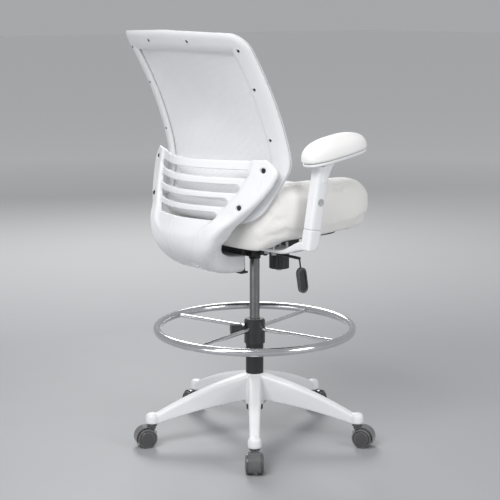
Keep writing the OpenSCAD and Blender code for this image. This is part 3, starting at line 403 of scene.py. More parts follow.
def makePiece(name, grids, finish, weld=0.00002, sharp=None):
    # joins grids (points, wrapRows, wrapCols) into one welded mesh with faces outwards
    points, faces, start = [], [], 0
    for grid, wrapRows, wrapCols in grids:
        points.append(grid.reshape(-1, 3))
        faces.append(gridFaces(grid.shape[0], grid.shape[1], wrapRows, wrapCols) + start)
        start += grid.shape[0] * grid.shape[1]
    mesh = bpy.data.meshes.new(name)
    mesh.from_pydata(np.concatenate(points).tolist(), [], np.concatenate(faces).tolist())
    work = bmesh.new()
    work.from_mesh(mesh)
    bmesh.ops.remove_doubles(work, verts=work.verts, dist=weld)
    bmesh.ops.dissolve_degenerate(work, edges=work.edges, dist=weld / 2)
    bmesh.ops.recalc_face_normals(work, faces=work.faces)
    work.to_mesh(mesh)
    work.free()
    piece = bpy.data.objects.new(name, mesh)
    scene.collection.objects.link(piece)
    mesh.materials.append(finishes[finish])
    smoothAll(piece, sharp)
    return piece


def smoothAll(piece, sharp=None):
    piece.data.polygons.foreach_set("use_smooth", np.ones(len(piece.data.polygons), bool))
    if sharp:
        piece.data.set_sharp_from_angle(angle=math.radians(sharp))
    piece.data.update()


def bake(piece):
    # swaps the piece's mesh for its evaluated one and clears its modifiers
    graph = bpy.context.evaluated_depsgraph_get()
    made = bpy.data.meshes.new_from_object(piece.evaluated_get(graph))
    piece.modifiers.clear()
    piece.data = made
    return piece


def cut(piece, cutters):
    # takes each cutter's volume out of the piece
    for cutter in cutters:
        change = piece.modifiers.new("cut", "BOOLEAN")
        change.operation = "DIFFERENCE"
        change.solver = "EXACT"
        change.object = cutter
    bake(piece)
    for cutter in cutters:
        bpy.data.objects.remove(cutter)
    return piece


def fuse(piece, voxel, rounds, factor=0.5):
    # melts overlapping closed shapes into one skin, then rounds its edges
    change = piece.modifiers.new("fuse", "REMESH")
    change.mode = "VOXEL"
    change.voxel_size = voxel
    change.use_smooth_shade = True
    change = piece.modifiers.new("round", "SMOOTH")
    change.factor = factor
    change.iterations = rounds
    bake(piece)
    smoothAll(piece)
    return piece


def superCircle(angle, power):
    # cosine and sine raised to 2/power, signs kept: a circle at 2, squarer above
    c, s = np.cos(angle), np.sin(angle)
    return np.sign(c) * np.abs(c) ** (2 / power), np.sign(s) * np.abs(s) ** (2 / power)


def closedLoft(rows):
    # puts each end row's middle before and after the rows, so that the ends close
    first = np.repeat(rows[:1].mean(axis=1, keepdims=True), rows.shape[1], axis=1)
    last = np.repeat(rows[-1:].mean(axis=1, keepdims=True), rows.shape[1], axis=1)
    return np.concatenate([first, rows, last])


def smoothStep(t):
    t = np.clip(t, 0, 1)
    return t * t * (3 - 2 * t)


def finishPiece(piece, body, slotName, *stoodFor):
    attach(piece, body)
    if stoodFor:
        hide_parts(*stoodFor)
    return piece


# back frame: a rail carried round the back's outline

backShape = {"topZ": 1124, "halfWidth": 224, "elbowY": -156, "elbowZ": 800, "elbowSoft": 25, "slopeUp": 0.22,
             "slopeDown": 0.33, "topCurl": 0.0007, "planRadius": 650, "railWidth": 50}


def backY(z):
    # side profile: two slopes joined by a hyperbola at the elbow, curled back above it
    v = z - backShape["elbowZ"]
    lean = (backShape["slopeUp"] - backShape["slopeDown"]) / 2
    bend = (backShape["slopeUp"] + backShape["slopeDown"]) / 2
    curl = backShape["topCurl"] * np.maximum(v, 0) ** 2
    return backShape["elbowY"] - lean * v - bend * np.sqrt(v * v + backShape["elbowSoft"] ** 2) - curl


def backSurface(x, z):
    # the side profile wrapped forward round a vertical cylinder
    r = backShape["planRadius"]
    return backY(z) + r - np.sqrt(r * r - x * x)


def roundedPath(corners, radii, step):
    # closed outline: each corner becomes an arc tangent to its two sides, then even steps along it
    corners = np.array(corners, float)
    arcs = []
    for before, here, after, radius in zip(np.roll(corners, 1, 0), corners, np.roll(corners, -1, 0), radii):
        a = (before - here) / np.linalg.norm(before - here)
        b = (after - here) / np.linalg.norm(after - here)
        half = np.arccos(a @ b) / 2
        middle = here + (a + b) / np.linalg.norm(a + b) * radius / np.sin(half)
        start, end = here + a * radius / np.tan(half) - middle, here + b * radius / np.tan(half) - middle
        turn = np.pi - 2 * half
        t = np.linspace(0, 1, 33)[:, None]
        arcs.append(middle + (np.sin(turn * (1 - t)) * start + np.sin(turn * t) * end) / np.sin(turn))
    outline = np.concatenate(arcs)
    ring = np.concatenate([outline, outline[:1]])
    length = np.concatenate([[0], np.cumsum(np.linalg.norm(np.diff(ring, axis=0), axis=1))])
    places = np.linspace(0, length[-1], int(length[-1] / step), endpoint=False)
    return np.stack([np.interp(places, length, ring[:, k]) for k in (0, 1)], axis=1)


topZ, halfWidth = backShape["topZ"], backShape["halfWidth"]
railCorners = [(0, topZ), (halfWidth + 5, topZ - 6), (halfWidth + 10, 800), (184, 677), (-184, 677),
               (-halfWidth - 10, 800), (-halfWidth - 5, topZ - 6)]
railPath = roundedPath(railCorners, [900, 16, 110, 48, 48, 110, 16], 4.0)
ahead = np.roll(railPath, -1, 0) - np.roll(railPath, 1, 0)
ahead /= np.linalg.norm(ahead, axis=1)[:, None]
outward = np.stack([-ahead[:, 1], ahead[:, 0]], axis=1)


def railGrid(section):
    # each path point carries the section: first number outwards, second forward of the back surface
    place = railPath[:, None, :] + outward[:, None, :] * section[None, :, :1]
    x, z = place[..., 0], place[..., 1]
    return np.stack([x, backSurface(x, z) + section[None, :, 1], z], axis=-1) * mm


screwSpots = np.array([(s * x, z) for s in (-1, 1)
                       for x, z in ((227, 1100), (82, 1121), (224, 1002), (224, 871), (82, 678))], float)
boltSpots = np.array([(s * x, z, y) for s in (-1, 1) for x, z, y in ((225, 795, -163), (184, 699, -211))], float)


def pinCutter(name, x, z, y0, y1, radius, cols=28):
    # a closed cylinder along Y
    a = np.linspace(0, 2 * np.pi, cols, endpoint=False)
    ring = np.stack([x + radius * np.cos(a), np.zeros(cols), z + radius * np.sin(a)], axis=1)
    rows = np.stack([ring + [0, y0, 0], ring + [0, y1, 0]])
    return makePiece(name, [(closedLoft(rows) * mm, False, True)], "frameWhite")


frameLook = {"halfWidth": 25.0, "crown": 7.0, "depth": 14.0, "corner": 2.5}
t = np.linspace(-1, 1, 25)
rear = np.stack([frameLook["halfWidth"] * t, frameLook["crown"] * np.abs(t) ** 3.0], axis=1)
front = np.array([(25, 10.5), (24.4, 12.8), (22.6, 14), (8, 14), (-8, 14), (-22.6, 14), (-24.4, 12.8), (-25, 10.5)])
backFrame = makePiece("backFrame", [(railGrid(np.concatenate([rear, front])), True, True)], "frameWhite")
holes = [pinCutter("hole", x, z, backSurface(x, z) - 6, backSurface(x, z) + 3.3, 4.1) for x, z in screwSpots]
cut(backFrame, holes)
smoothAll(backFrame, 50)
finishPiece(backFrame, "seat", "frame_white", "back_frame")

bezelLook = {"rear": 16.2, "thick": 8.0}
t = np.linspace(1, -1, 21)
faceLine = bezelLook["rear"] + bezelLook["thick"] * (1 - np.abs(t) ** 3.2) ** 0.6
bezelSection = np.concatenate([np.stack([24.5 * t, np.maximum(faceLine, bezelLook["rear"] + 1)], axis=1),
                               [(-23.5, 16.2), (-8, 16.2), (8, 16.2), (23.5, 16.2)]])
meshBezel = makePiece("meshBezel", [(railGrid(bezelSection), True, True)], "frameWhite", sharp=50)
finishPiece(meshBezel, "seat", "frame_white", "mesh_bezel")

# filler strip that hides the gap between rail and bezel, where the net's edge is held
stripSection = np.array([(22.2, 13.4), (22.2, 17.2), (17, 17.2), (17, 13.4)])
netStrip = makePiece("netStrip", [(railGrid(stripSection), True, True)], "knobBlack", sharp=40)
finishPiece(netStrip, "seat", "knob_black")
print("back frame built")

# net: a sheet stretched over the frame's window

netLook = {"lowZ": 684, "highZ": 1114, "rows": 140, "cols": 130, "push": 22.0}
z = np.linspace(netLook["lowZ"], netLook["highZ"], netLook["rows"])[:, None]
halfNet = np.where(z > 800, halfWidth - 10, 158 + (halfWidth - 168) * (z - 684) / (800 - 684))
x = halfNet * np.linspace(-1, 1, netLook["cols"])[None, :]
z = np.broadcast_to(z, x.shape)
window = 194 - 0.44 * np.maximum(0, 800 - z)
lift = np.maximum(0, 1 - (x / window) ** 2) * np.sin(np.pi * np.clip((z - 714) / (1086 - 714), 0, 1))
net = np.stack([x, backSurface(x, z) + 15.1 + netLook["push"] * lift, z], axis=-1) * mm
backNet = makePiece("backNet", [(net, False, False)], "netWhite")
uvLayer = backNet.data.uv_layers.new(name="sheetMetres")
corners = np.zeros(len(backNet.data.loops), int)
backNet.data.loops.foreach_get("vertex_index", corners)
spots = np.zeros(len(backNet.data.vertices) * 3)
backNet.data.vertices.foreach_get("co", spots)
uvLayer.data.foreach_set("uv", spots.reshape(-1, 3)[corners][:, [0, 2]].ravel())
finishPiece(backNet, "seat", "mesh_white", "back_mesh")

# spine shell: stations down a curve, wings swept forward, slots cut through

shellStations = np.array([
    [-231, 824, 230, 8, 7, 195, 7, 16, 6, 1],
    [-236, 796, 258, 12, 7, 195, 7, 17, 8, 1],
    [-244, 764, 254, 12, 7, 187, 8, 18, 8, 1],
    [-254, 732, 236, 14, 7, 174, 8, 14, 9, 1],
    [-264, 702, 214, 18, 8, 152, 9, 8, 10, 1],
    [-274, 672, 184, 28, 9, 132, 10, 2, 14, 1],
    [-281, 642, 157, 44, 10, 106, 6, 0, 18, 0.75],
    [-283, 612, 139, 58, 12, 60, 0, 0, 24, 0.6],
    [-275, 578, 124, 68, 16, 52, 0, 0, 28, 0.45],
    [-252, 545, 105, 68, 24, 48, 0, 0, 28, 0.3],
    [-214, 518, 87, 58, 34, 44, 0, 0, 26, 0.15],
    [-167, 503, 77, 50, 44, 40, 0, 0, 24, 0],
    [-125, 498, 72, 48, 47, 40, 0, 0, 22, 0],
    [-92.5, 497, 70, 48, 48, 40, 0, 0, 22, 0]])
shellLook = {"rowsPer": 9, "panelCols": 46, "edgeCols": 30, "step": 7.0, "crown": 10.0, "sweep": 0.479,
             "sweepSoft": 90.0}


def stationAt(u):
    # a smooth cubic through the stations, four at a time
    last = len(shellStations) - 1
    i = np.clip(np.floor(u).astype(int), 0, last - 1)
    t = (u - i)[:, None]
    a, b = shellStations[np.maximum(i - 1, 0)], shellStations[i]
    c, d = shellStations[i + 1], shellStations[np.minimum(i + 2, last)]
    return 0.5 * (2 * b + (c - a) * t + (2 * a - 5 * b + 4 * c - d) * t ** 2 + (3 * b - a - 3 * c + d) * t ** 3)


def shellGrid(front):
    # rows follow the stations, columns run over the panel and on to the rolled edge
    count = (len(shellStations) - 1) * shellLook["rowsPer"]
    u = np.arange(count + 1) / shellLook["rowsPer"]
    s = stationAt(u)
    gap = 0.25
    ahead = stationAt(np.minimum(u + gap, len(shellStations) - 1))[:, :2]
    tangent = ahead - stationAt(np.maximum(u - gap, 0))[:, :2]
    tangent /= np.linalg.norm(tangent, axis=1)[:, None]
    normal = np.stack([-tangent[:, 1], tangent[:, 0]], axis=1)[:, None, :]
    y, z, half, depth, wall, panel, recess, bulge, roll, sweep = (s[:, k][:, None] for k in range(10))
    inner = np.linspace(0, 1, shellLook["panelCols"])[None, :] * (panel - 11)
    share = 1 - (1 - np.linspace(0, 1, shellLook["edgeCols"])[None, :]) ** 1.6
    outer = panel + (half - panel) * share
    x = np.concatenate([inner, outer], axis=1)
    onPanel = np.concatenate([np.ones_like(inner), np.zeros_like(outer)], axis=1)
    x = np.concatenate([-x[:, :0:-1], x], axis=1)
    onPanel = np.concatenate([onPanel[:, :0:-1], onPanel], axis=1)
    edge = np.clip((np.abs(x) - (half - roll)) / roll, 0, 1)
    rolled = 0.8 * roll * (1 - np.sqrt(1 - edge ** 2))
    sunk = onPanel * (recess - bulge * (1 - (x / (panel - 11)) ** 2))
    side = smoothStep((np.abs(x) - 0.55 * half) / (0.35 * half))
    rearDepth = sunk + rolled
    d = np.maximum(np.maximum(sunk + wall, wall + (depth - wall) * side), rearDepth + 3) if front else rearDepth
    drop = shellLook["crown"] * np.maximum(0, 1 - u)[:, None] * (1 - (x / half) ** 2)
    soft = shellLook["sweepSoft"]
    wing = sweep * shellLook["sweep"] * (np.sqrt(x * x + soft * soft) - soft)
    return np.stack([x, y + wing + normal[..., 0] * d, z - drop + normal[..., 1] * d], axis=-1) * mm


def slotCutter(name, half, z, height):
    # a closed prism along Y with round ends
    a = np.linspace(0, 2 * np.pi, 56, endpoint=False)
    r = height / 2
    ring = np.stack([np.sign(np.cos(a)) * (half - r) + r * np.cos(a), np.zeros(a.size), z + r * np.sin(a)], axis=1)
    rows = np.stack([ring + [0, -335, 0], ring + [0, -60, 0]])
    return makePiece(name, [(closedLoft(rows) * mm, False, True)], "shellWhite")


rearSkin, frontSkin = shellGrid(False), shellGrid(True)
rims = [np.stack([rearSkin[0], frontSkin[0]]), np.stack([rearSkin[-1], frontSkin[-1]]),
        np.stack([rearSkin[:, 0], frontSkin[:, 0]]), np.stack([rearSkin[:, -1], frontSkin[:, -1]])]
backShell = makePiece("backShell", [(g, False, False) for g in [rearSkin, frontSkin, *rims]], "shellWhite")
cutters = [slotCutter("slotCutter", half, z, 20.5) for half, z in ((187, 783), (167, 745), (144, 708), (121, 672))]
cutters += [pinCutter("boltCutter", x, z, y - 20, y + 8, 7.2) for x, z, y in boltSpots]
cut(backShell, cutters)
fuse(backShell, 0.0021, 9)
finishPiece(backShell, "seat", "shell_white", "back_shell")
print("shell built", len(backShell.data.polygons))

# bosses that stand between the shell's wings and the back frame
for number, (x, z, y) in enumerate(boltSpots):
    a = np.linspace(0, 2 * np.pi, 36, endpoint=False)
    reach = np.array([0.0, 0.4, 0.9, 1.0])
    radius = np.array([11.0, 9.2, 8.6, 7.9])
    y0, y1 = y + 9.0, backSurface(x, z) - 1.5
    rows = np.stack([x + radius[:, None] * np.cos(a), np.broadcast_to((y0 + (y1 - y0) * reach)[:, None], (4, 36)),
                     z + radius[:, None] * np.sin(a)], axis=-1)
    boss = makePiece(f"shellBoss{number + 1}", [(closedLoft(rows) * mm, False, True)], "shellWhite", sharp=60)
    finishPiece(boss, "seat", "shell_white")

# seat cushion: a dished, crowned form in a soft cover

seatLook = {"halfWidth": 0.2425, "rear": -0.168, "front": 0.2545, "square": 4.8, "lowZ": 0.577, "topZ": 0.711,
            "bolster": 0.036, "edgeLow": 0.012, "edgeTop": 0.034, "cols": 260, "swell": 0.010}


def seatTop(x, y):
    # side bolsters round a low middle, with a front that falls away and a slightly lower rear
    rise = seatLook["bolster"] * smoothStep((np.abs(x) - 0.08) / 0.11)
    return (seatLook["topZ"] + rise - 0.030 * smoothStep((y - 0.12) / 0.13) ** 2
            - 0.006 * smoothStep((-y - 0.06) / 0.09))


def seatUnder(x, y):
    # rear: a slope up from the board to the side; front: a step above the board, then a slow rise forwards
    side = np.abs(x)
    rear = smoothStep((-0.01 - y) / 0.12)
    slope = 0.032 * smoothStep((side - 0.175) / 0.055)
    step = 0.0125 + 0.0165 * smoothStep((side - 0.176) / 0.022) + 0.010 * np.clip((y - 0.03) / 0.16, 0, 1)
    return seatLook["lowZ"] + rear * slope + (1 - rear) * step + 0.022 * smoothStep((y - 0.2) / 0.042)


a = np.linspace(0, 2 * np.pi, seatLook["cols"], endpoint=False)
planX, planY = superCircle(a, seatLook["square"])
turn = np.linspace(0, np.pi / 2, 10)
low, top = seatLook["edgeLow"], seatLook["edgeTop"]
wall = np.linspace(0, 1, 16)[1:-1]
# rings from the middle of the underside to the middle of the top: inset, height above the
# underside, height below the top, and the share of the top in the height
inset = np.concatenate([[0.24, 0.19, 0.13, 0.08, 0.045], low * (1 - np.sin(turn)) + 0.006, 0.006 * (1 - wall) - 0.004 *
                        np.sin(np.pi * wall), top * (1 - np.cos(turn)), [0.05, 0.08, 0.12, 0.17, 0.21, 0.24]])
fromLow = np.concatenate([np.zeros(5), low * (1 - np.cos(turn)), np.full(14, low), np.zeros(16)])
fromTop = np.concatenate([np.zeros(15), np.full(14, top), top * (1 - np.sin(turn)), np.zeros(6)])
mix = np.concatenate([np.zeros(15), wall, np.ones(16)])
share = 1 - inset / seatLook["halfWidth"]
middleY, halfY = (seatLook["rear"] + seatLook["front"]) / 2, (seatLook["front"] - seatLook["rear"]) / 2
x = share[:, None] * seatLook["halfWidth"] * planX[None, :]
y = middleY + share[:, None] * halfY * planY[None, :]
lowPart = seatUnder(x, y) + fromLow[:, None]
topPart = seatTop(x, y) - fromTop[:, None]
z = lowPart * (1 - mix[:, None]) + topPart * mix[:, None]
limit = backSurface(np.clip(x, -0.3, 0.3) / mm, z / mm) * mm + 0.031
y = np.where(z > 0.640, np.maximum(y, limit), y)
seat = np.stack([x, y, z], axis=-1)


def shrinkSpots(piece):
    spots = np.zeros(len(piece.data.vertices) * 3)
    piece.data.vertices.foreach_get("co", spots)
    return spots.reshape(-1, 3)


def puff(piece, voxel, pressure, cap, pinned, loose):
    # remeshes, blows the cover up as cloth, limits how far a point moves, and subdivides once
    change = piece.modifiers.new("even", "REMESH")
    change.mode = "VOXEL"
    change.voxel_size = voxel
    bake(piece)
    before = shrinkSpots(piece)
    group = piece.vertex_groups.new(name="held")
    group.add(np.flatnonzero(pinned(before)).tolist(), 1.0, "ADD")
    cloth = piece.modifiers.new("cover", "CLOTH")
    cloth.settings.use_pressure = True
    cloth.settings.uniform_pressure_force = pressure
    cloth.settings.vertex_group_mass = "held"
    cloth.settings.shrink_min = -loose
    cloth.settings.bending_stiffness = 0.35
    cloth.settings.effector_weights.gravity = 0
    cloth.point_cache.frame_start = 1
    cloth.point_cache.frame_end = 20
    for number in range(1, 21):
        scene.frame_set(number)
    graph = bpy.context.evaluated_depsgraph_get()
    shaped = piece.evaluated_get(graph).to_mesh()
    after = np.zeros(len(shaped.vertices) * 3)
    shaped.vertices.foreach_get("co", after)
    move = after.reshape(-1, 3) - before
    length = np.linalg.norm(move, axis=1, keepdims=True)
    move *= np.minimum(1, cap / np.maximum(length, 1e-9))
    piece.modifiers.clear()
    scene.frame_set(1)
    before = before + move
    piece.data.vertices.foreach_set("co", before.ravel())
    change = piece.modifiers.new("even", "SMOOTH")
    change.factor = 0.5
    change.iterations = 4
    change = piece.modifiers.new("finer", "SUBSURF")
    change.levels = change.render_levels = 1
    bake(piece)
    smoothAll(piece)
    return piece


seatCushion = makePiece("seatCushion", [(closedLoft(seat), False, True)], "seatVinyl")
puff(seatCushion, 0.005, 4.0, 0.006, lambda p: p[:, 2] < seatUnder(p[:, 0], p[:, 1]) + 0.013, 0.02)
finishPiece(seatCushion, "seat", "seat_vinyl", "seat_cushion")
print("cushion built", len(seatCushion.data.polygons))

# seat board: a rounded plank, thinned towards its edge on the underside
cx, cy = superCircle(np.linspace(0, 2 * np.pi, 120, endpoint=False), 6.0)
boardRows = np.array([(56, 577), (3, 586.6), (0.6, 587.6), (0, 588.4), (0.5, 589)])
board = np.stack([cx * (152 - boardRows[:, :1]), 42 + cy * (154 - boardRows[:, :1]),
                  np.broadcast_to(boardRows[:, 1:], (5, 120))], axis=-1)
# the board's near-black finish is painted shade under the seat
seatBoard = makePiece("seatBoard", [(closedLoft(board) * mm, False, True)], "boardPaintedShade", sharp=40)
finishPiece(seatBoard, "seat", "plywood", "seat_board")

# arms

armLook = {"x": 283.5, "baseY": -51.0, "baseZ": 590.0, "lean": 10.2, "postWide": 34.0, "postLong": 43.0,
           "padX": 284.5, "padY": 33.5, "padZ": 826.0, "padRise": 9.0, "padLong": 212.0, "padWide": 80.0,
           "padTall": 53.0}


def turnX(points, degrees):
    # turns points about the X axis
    c, s = math.cos(math.radians(degrees)), math.sin(math.radians(degrees))
    x, y, z = points[..., 0], points[..., 1], points[..., 2]
    return np.stack([x, c * y - s * z, s * y + c * z], axis=-1)


def inArm(points, side):
    # from the post's own frame to the chair's
    moved = turnX(points, -armLook["lean"]) + [armLook["x"], armLook["baseY"], armLook["baseZ"]]
    return moved * [side, 1, 1] * mm


def inPad(points, side):
    # from the arm pad's own frame to the chair's
    moved = turnX(points, armLook["padRise"]) + [armLook["padX"], armLook["padY"], armLook["padZ"]]
    return moved * [side, 1, 1] * mm


def postRows(wide, long, heights, power=4.0, cols=72):
    # a squared oval section repeated up the post, with its size at each height
    cx, cy = superCircle(np.linspace(0, 2 * np.pi, cols, endpoint=False), power)
    heights = np.array(heights, float)
    grow = heights[:, 1:]
    return np.stack([cx * wide / 2 * grow, cy * long / 2 * grow,
                     np.broadcast_to(heights[:, :1], (len(heights), cols))], axis=-1)


for side, label, bodyEnd in ((1, "Right", "right"), (-1, "Left", "left")):
    # sleeve: post, flared gusset and pad plate melted together
    post = postRows(34, 43, [(48, 0.93), (48.6, 0.97), (50, 1), (100, 1), (150, 1), (190, 1), (214, 1)])
    cx, cy = superCircle(np.linspace(0, 2 * np.pi, 96, endpoint=False), 3.0)
    plateShape = np.array([(0.96, -9.2), (0.99, -8.2), (1, -6), (1, -2.4), (0.985, -1), (0.95, -0.6)])
    plate = np.stack([cx * 36.5 * plateShape[:, :1], cy * 102 * plateShape[:, :1],
                      np.broadcast_to(plateShape[:, 1:], (6, 96))], axis=-1)
    # gusset: the sleeve's front carried forwards into the plate along a quarter ellipse
    bend = np.linspace(0, np.pi / 2, 20)
    curveZ = -8 - 50 * (1 - np.sin(bend))
    leanLine = -27 + 0.348 * (curveZ + 14)
    across = np.sin(np.linspace(-np.pi / 2, np.pi / 2, 25))[:, None]
    tuck = 21.5 * (1 - (1 - across ** 4) ** 0.25)
    frontY = leanLine + 36 * (1 - np.cos(bend)) - tuck
    rearY = np.broadcast_to(leanLine[::-1] - 25, frontY.shape)
    allY = np.concatenate([frontY, np.full((25, 1), -30.0), np.full((25, 1), -52.0), rearY], axis=1)
    allZ = np.broadcast_to(np.concatenate([curveZ, [-3.5, -3.5], curveZ[::-1]]), allY.shape)
    gusset = np.stack([np.broadcast_to(17 * across, allY.shape), allY, allZ], axis=-1)
    sleeve = makePiece(f"armSleeve{label}", [
        (closedLoft(inArm(post, side)), False, True), (closedLoft(inPad(plate, side)), False, True),
        (closedLoft(inPad(gusset, side)), False, True)], "armWhite")
    fuse(sleeve, 0.0014, 5)
    finishPiece(sleeve, "arm_" + bodyEnd, "arm_white", "arm_sleeve_" + bodyEnd)

    # pad: superquadric dome on a tucked rim
    rise = np.radians(np.linspace(0, 88.5, 34))
    share = np.concatenate([[0.90, 0.955, 0.985], np.cos(rise) ** (2 / 2.8)])
    tall = np.concatenate([[0.4, 0.6, 2.2], 6 + (armLook["padTall"] - 6) * np.sin(rise) ** (2 / 2.4)])
    cx, cy = superCircle(np.linspace(0, 2 * np.pi, 144, endpoint=False), 2.7)
    dome = np.stack([cx * 40 * share[:, None], cy * 106 * share[:, None],
                     np.broadcast_to(tall[:, None], (share.size, 144))], axis=-1)
    pad = makePiece(f"armPad{label}", [(closedLoft(inPad(dome, side)), False, True)], "padSkin")
    change = pad.modifiers.new("even", "REMESH")
    change.mode = "VOXEL"
    change.voxel_size = 0.0016
    change = pad.modifiers.new("round", "SMOOTH")
    change.factor = 0.5
    change.iterations = 6
    bake(pad)
    smoothAll(pad)
    finishPiece(pad, "arm_" + bodyEnd, "pad_white", "arm_pad_" + bodyEnd)

    # elbow: a block with a rounded toe under the post
    level = np.array([0, 0.8, 2, 4, 7, 10, 14, 18, 22, 26, 32, 40, 50, 53.2, 54.2, 54.6])
    toe = 21.5 - 26 + np.sqrt(26 ** 2 - np.maximum(0, 26 - level) ** 2)
    shrink = np.array([0.9, 0.96, 1, 1, 1, 1, 1, 1, 1, 1, 1, 1, 1, 1, 0.985, 0.95])
    cx, cy = superCircle(np.linspace(0, 2 * np.pi, 72, endpoint=False), 4.5)
    centre, reachY = (toe - 21.5) / 2, (toe + 21.5) / 2
    block = np.stack([cx * 17 * shrink[:, None], centre[:, None] + cy * (reachY * shrink)[:, None],
                      np.broadcast_to(level[:, None] - 7, (16, 72))], axis=-1)
    # foot: a bar from under the seat to the block, thicker and narrower towards it
    footX = np.array([125, 130, 165, 200, 215, 230, 245, 258, 272, 276.0])
    lowZ = np.array([565, 565, 565, 565.5, 567.5, 571, 576, 580, 583, 584.0])
    highZ = np.array([571, 575.5, 576, 577.5, 582, 590, 599, 605, 608, 608.0])
    halfY = np.array([34, 36, 34, 30, 27, 25, 23, 21.5, 20, 19.0])
    cx, cy = superCircle(np.linspace(0, 2 * np.pi, 64, endpoint=False), 5.0)
    middleZ, halfZ = (lowZ + highZ) / 2, (highZ - lowZ) / 2
    foot = np.stack([np.broadcast_to(footX[:, None], (10, 64)), -53 + cy * halfY[:, None],
                     middleZ[:, None] + cx * halfZ[:, None]], axis=-1)
    inner = postRows(24.4, 32, [(20, 1), (120, 1), (187, 1), (190, 0.97)], 5.0)
    bracket = makePiece(f"armBracket{label}", [
        (closedLoft(inArm(block, side)), False, True), (closedLoft(foot * [side, 1, 1] * mm), False, True),
        (closedLoft(inArm(inner, side)), False, True)], "armWhite")
    fuse(bracket, 0.0015, 3)
    finishPiece(bracket, "seat", "arm_white", "arm_bracket_" + bodyEnd)
print("arms built")

# base: five legs, bell caps and a hub cone melted together

baseLook = {"hubTop": 187.0, "hubBottom": 106.0, "stemCircle": 300.0, "firstLeg": -40.0}


def spun(profile, cols=72):
    # a side profile (radius, height) spun round the Z axis
    a = np.linspace(0, 2 * np.pi, cols, endpoint=False)
    profile = np.array(profile, float)
    return np.stack([profile[:, :1] * np.cos(a), profile[:, :1] * np.sin(a),
                     np.broadcast_to(profile[:, 1:], (len(profile), cols))], axis=-1)


def turnZ(points, degrees):
    c, s = math.cos(math.radians(degrees)), math.sin(math.radians(degrees))
    x, y, z = points[..., 0], points[..., 1], points[..., 2]
    return np.stack([c * x - s * y, s * x + c * y, z], axis=-1)


hub = spun([(31, 98), (33, 99), (35, 106), (35, 140), (33.5, 156), (31, 170), (29.4, 181), (28.8, 185.5), (27.6, 187),
            (25.4, 187)])
t = np.linspace(0, 1, 90)[:, None]
radius = 18 + (292 - 18) * t
topLine = 187 - 55 * t - 42 * t * t
bottomLine = 112 - 20 * t - 28 * t * t
halfLeg = 19 + (13.5 - 19) * t
sideShare = np.array([[-1, -1, -1, -0.86, -0.62, -0.3, 0, 0.3, 0.62, 0.86, 1, 1, 1, 0.5, -0.5]])
fromTop = np.array([[40, 14, 7.5, 2.6, 0.3, 0, 0, 0, 0.3, 2.6, 7.5, 14, 40, 40, 40]], float)
isLow = np.array([[1, 0, 0, 0, 0, 0, 0, 0, 0, 0, 0, 0, 1, 1, 1]], float)
legZ = (topLine - fromTop) * (1 - isLow) + bottomLine * isLow
leg = np.stack([np.broadcast_to(radius, legZ.shape), halfLeg * sideShare, legZ], axis=-1)
cap = spun([(17.4, 66), (18.4, 66.6), (18.6, 70), (18.3, 78), (17.6, 85), (15.8, 90), (12.5, 93.2), (8, 94.6), (3, 95)],
           56) + [baseLook["stemCircle"], 0, 0]
grids = [(closedLoft(hub) * mm, False, True)]
for number in range(5):
    angle = baseLook["firstLeg"] + 72 * number
    grids.append((closedLoft(turnZ(leg, angle)) * mm, False, True))
    grids.append((closedLoft(turnZ(cap, angle)) * mm, False, True))
baseStar = makePiece("baseStar", grids, "baseWhite")
fuse(baseStar, 0.0020, 4)
bore = makePiece("bore", [(closedLoft(spun([(24.9, 80), (24.9, 200)], 64)) * mm, False, True)], "baseWhite")
cut(baseStar, [bore])
smoothAll(baseStar, 55)
finishPiece(baseStar, "base", "base_white", "base_star")
print("base built", len(baseStar.data.polygons))

# caster wheels: a rounded tread, a groove and a domed cap spun round each axle

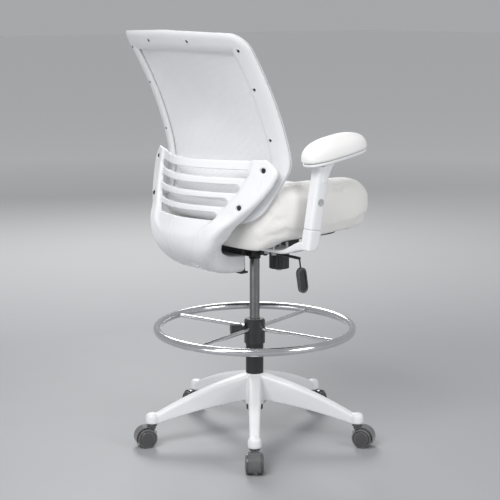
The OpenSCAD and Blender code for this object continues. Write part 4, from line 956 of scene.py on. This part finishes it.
wheelProfile = np.array([(6, -8.2), (25.4, -8.2), (27, -7), (27.5, -5), (27.5, 4.6), (27.1, 6.6), (25.8, 8.0),
                         (23.4, 8.6), (22.2, 8.3), (21.8, 6.9), (21.0, 6.6), (20.4, 7.2), (20.2, 8.6), (19.4, 9.3),
                         (14, 9.8), (7, 10.1), (2, 10.2)])
for number in range(1, 6):
    middles = {}
    for end in "ab":
        low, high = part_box(f"caster_wheel_{number}{end}")
        middles[end] = (np.array(low) + np.array(high)) / 2
    for end, other in (("a", "b"), ("b", "a")):
        axle = middles[end] - middles[other]
        axle /= np.linalg.norm(axle)
        sideways = np.cross(axle, [0, 0, 1.0])
        disc = spun(wheelProfile, 64) * mm
        disc = disc[..., :1] * np.array([0, 0, 1.0]) + disc[..., 1:2] * sideways + disc[..., 2:] * axle
        name = f"casterWheel{number}{end.upper()}"
        wheel = makePiece(name, [(closedLoft(disc + middles[end]), False, True)], "wheelGray", sharp=32)
        finishPiece(wheel, f"wheel_{number}{end}", "wheel_gray", f"caster_wheel_{number}{end}")
print("wheels built")

# tension spring: a wire carried up a helix

springLook = {"radius": 17.0, "wire": 2.2, "turns": 6, "lowZ": 483.4, "y": 91.0}
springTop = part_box("tilt_spring")[1][2] / mm - springLook["wire"]
u = np.linspace(0, 1, 40 * springLook["turns"])[:, None]
a = 2 * np.pi * springLook["turns"] * u
b = np.linspace(0, 2 * np.pi, 14, endpoint=False)[None, :]
reach = springLook["radius"] + springLook["wire"] * np.cos(b)
rise = springLook["lowZ"] + (springTop - springLook["lowZ"]) * u
coil = np.stack([reach * np.cos(a), springLook["y"] + reach * np.sin(a),
                 rise + springLook["wire"] * np.sin(b)], axis=-1)
tiltSpring = makePiece("tiltSpring", [(closedLoft(coil) * mm, False, True)], "springSteel", sharp=60)
finishPiece(tiltSpring, "lift", "spring_steel", "tilt_spring")
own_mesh(tiltSpring)

# foot ring: a round tube carried round a circle

ringLook = {"radius": 275.0, "tube": 11.0, "z": 317.0}
a = np.linspace(0, 2 * np.pi, 220, endpoint=False)[:, None]
b = np.linspace(0, 2 * np.pi, 32, endpoint=False)[None, :]
reach = ringLook["radius"] + ringLook["tube"] * np.cos(b)
ring = np.stack([reach * np.cos(a), reach * np.sin(a), ringLook["z"] + ringLook["tube"] * np.sin(b) + 0 * a], axis=-1)
footRing = makePiece("footRing", [(ring * mm, True, True)], "ringChrome")
finishPiece(footRing, "footrest", "ring_chrome", "foot_ring")
print("foot ring built")
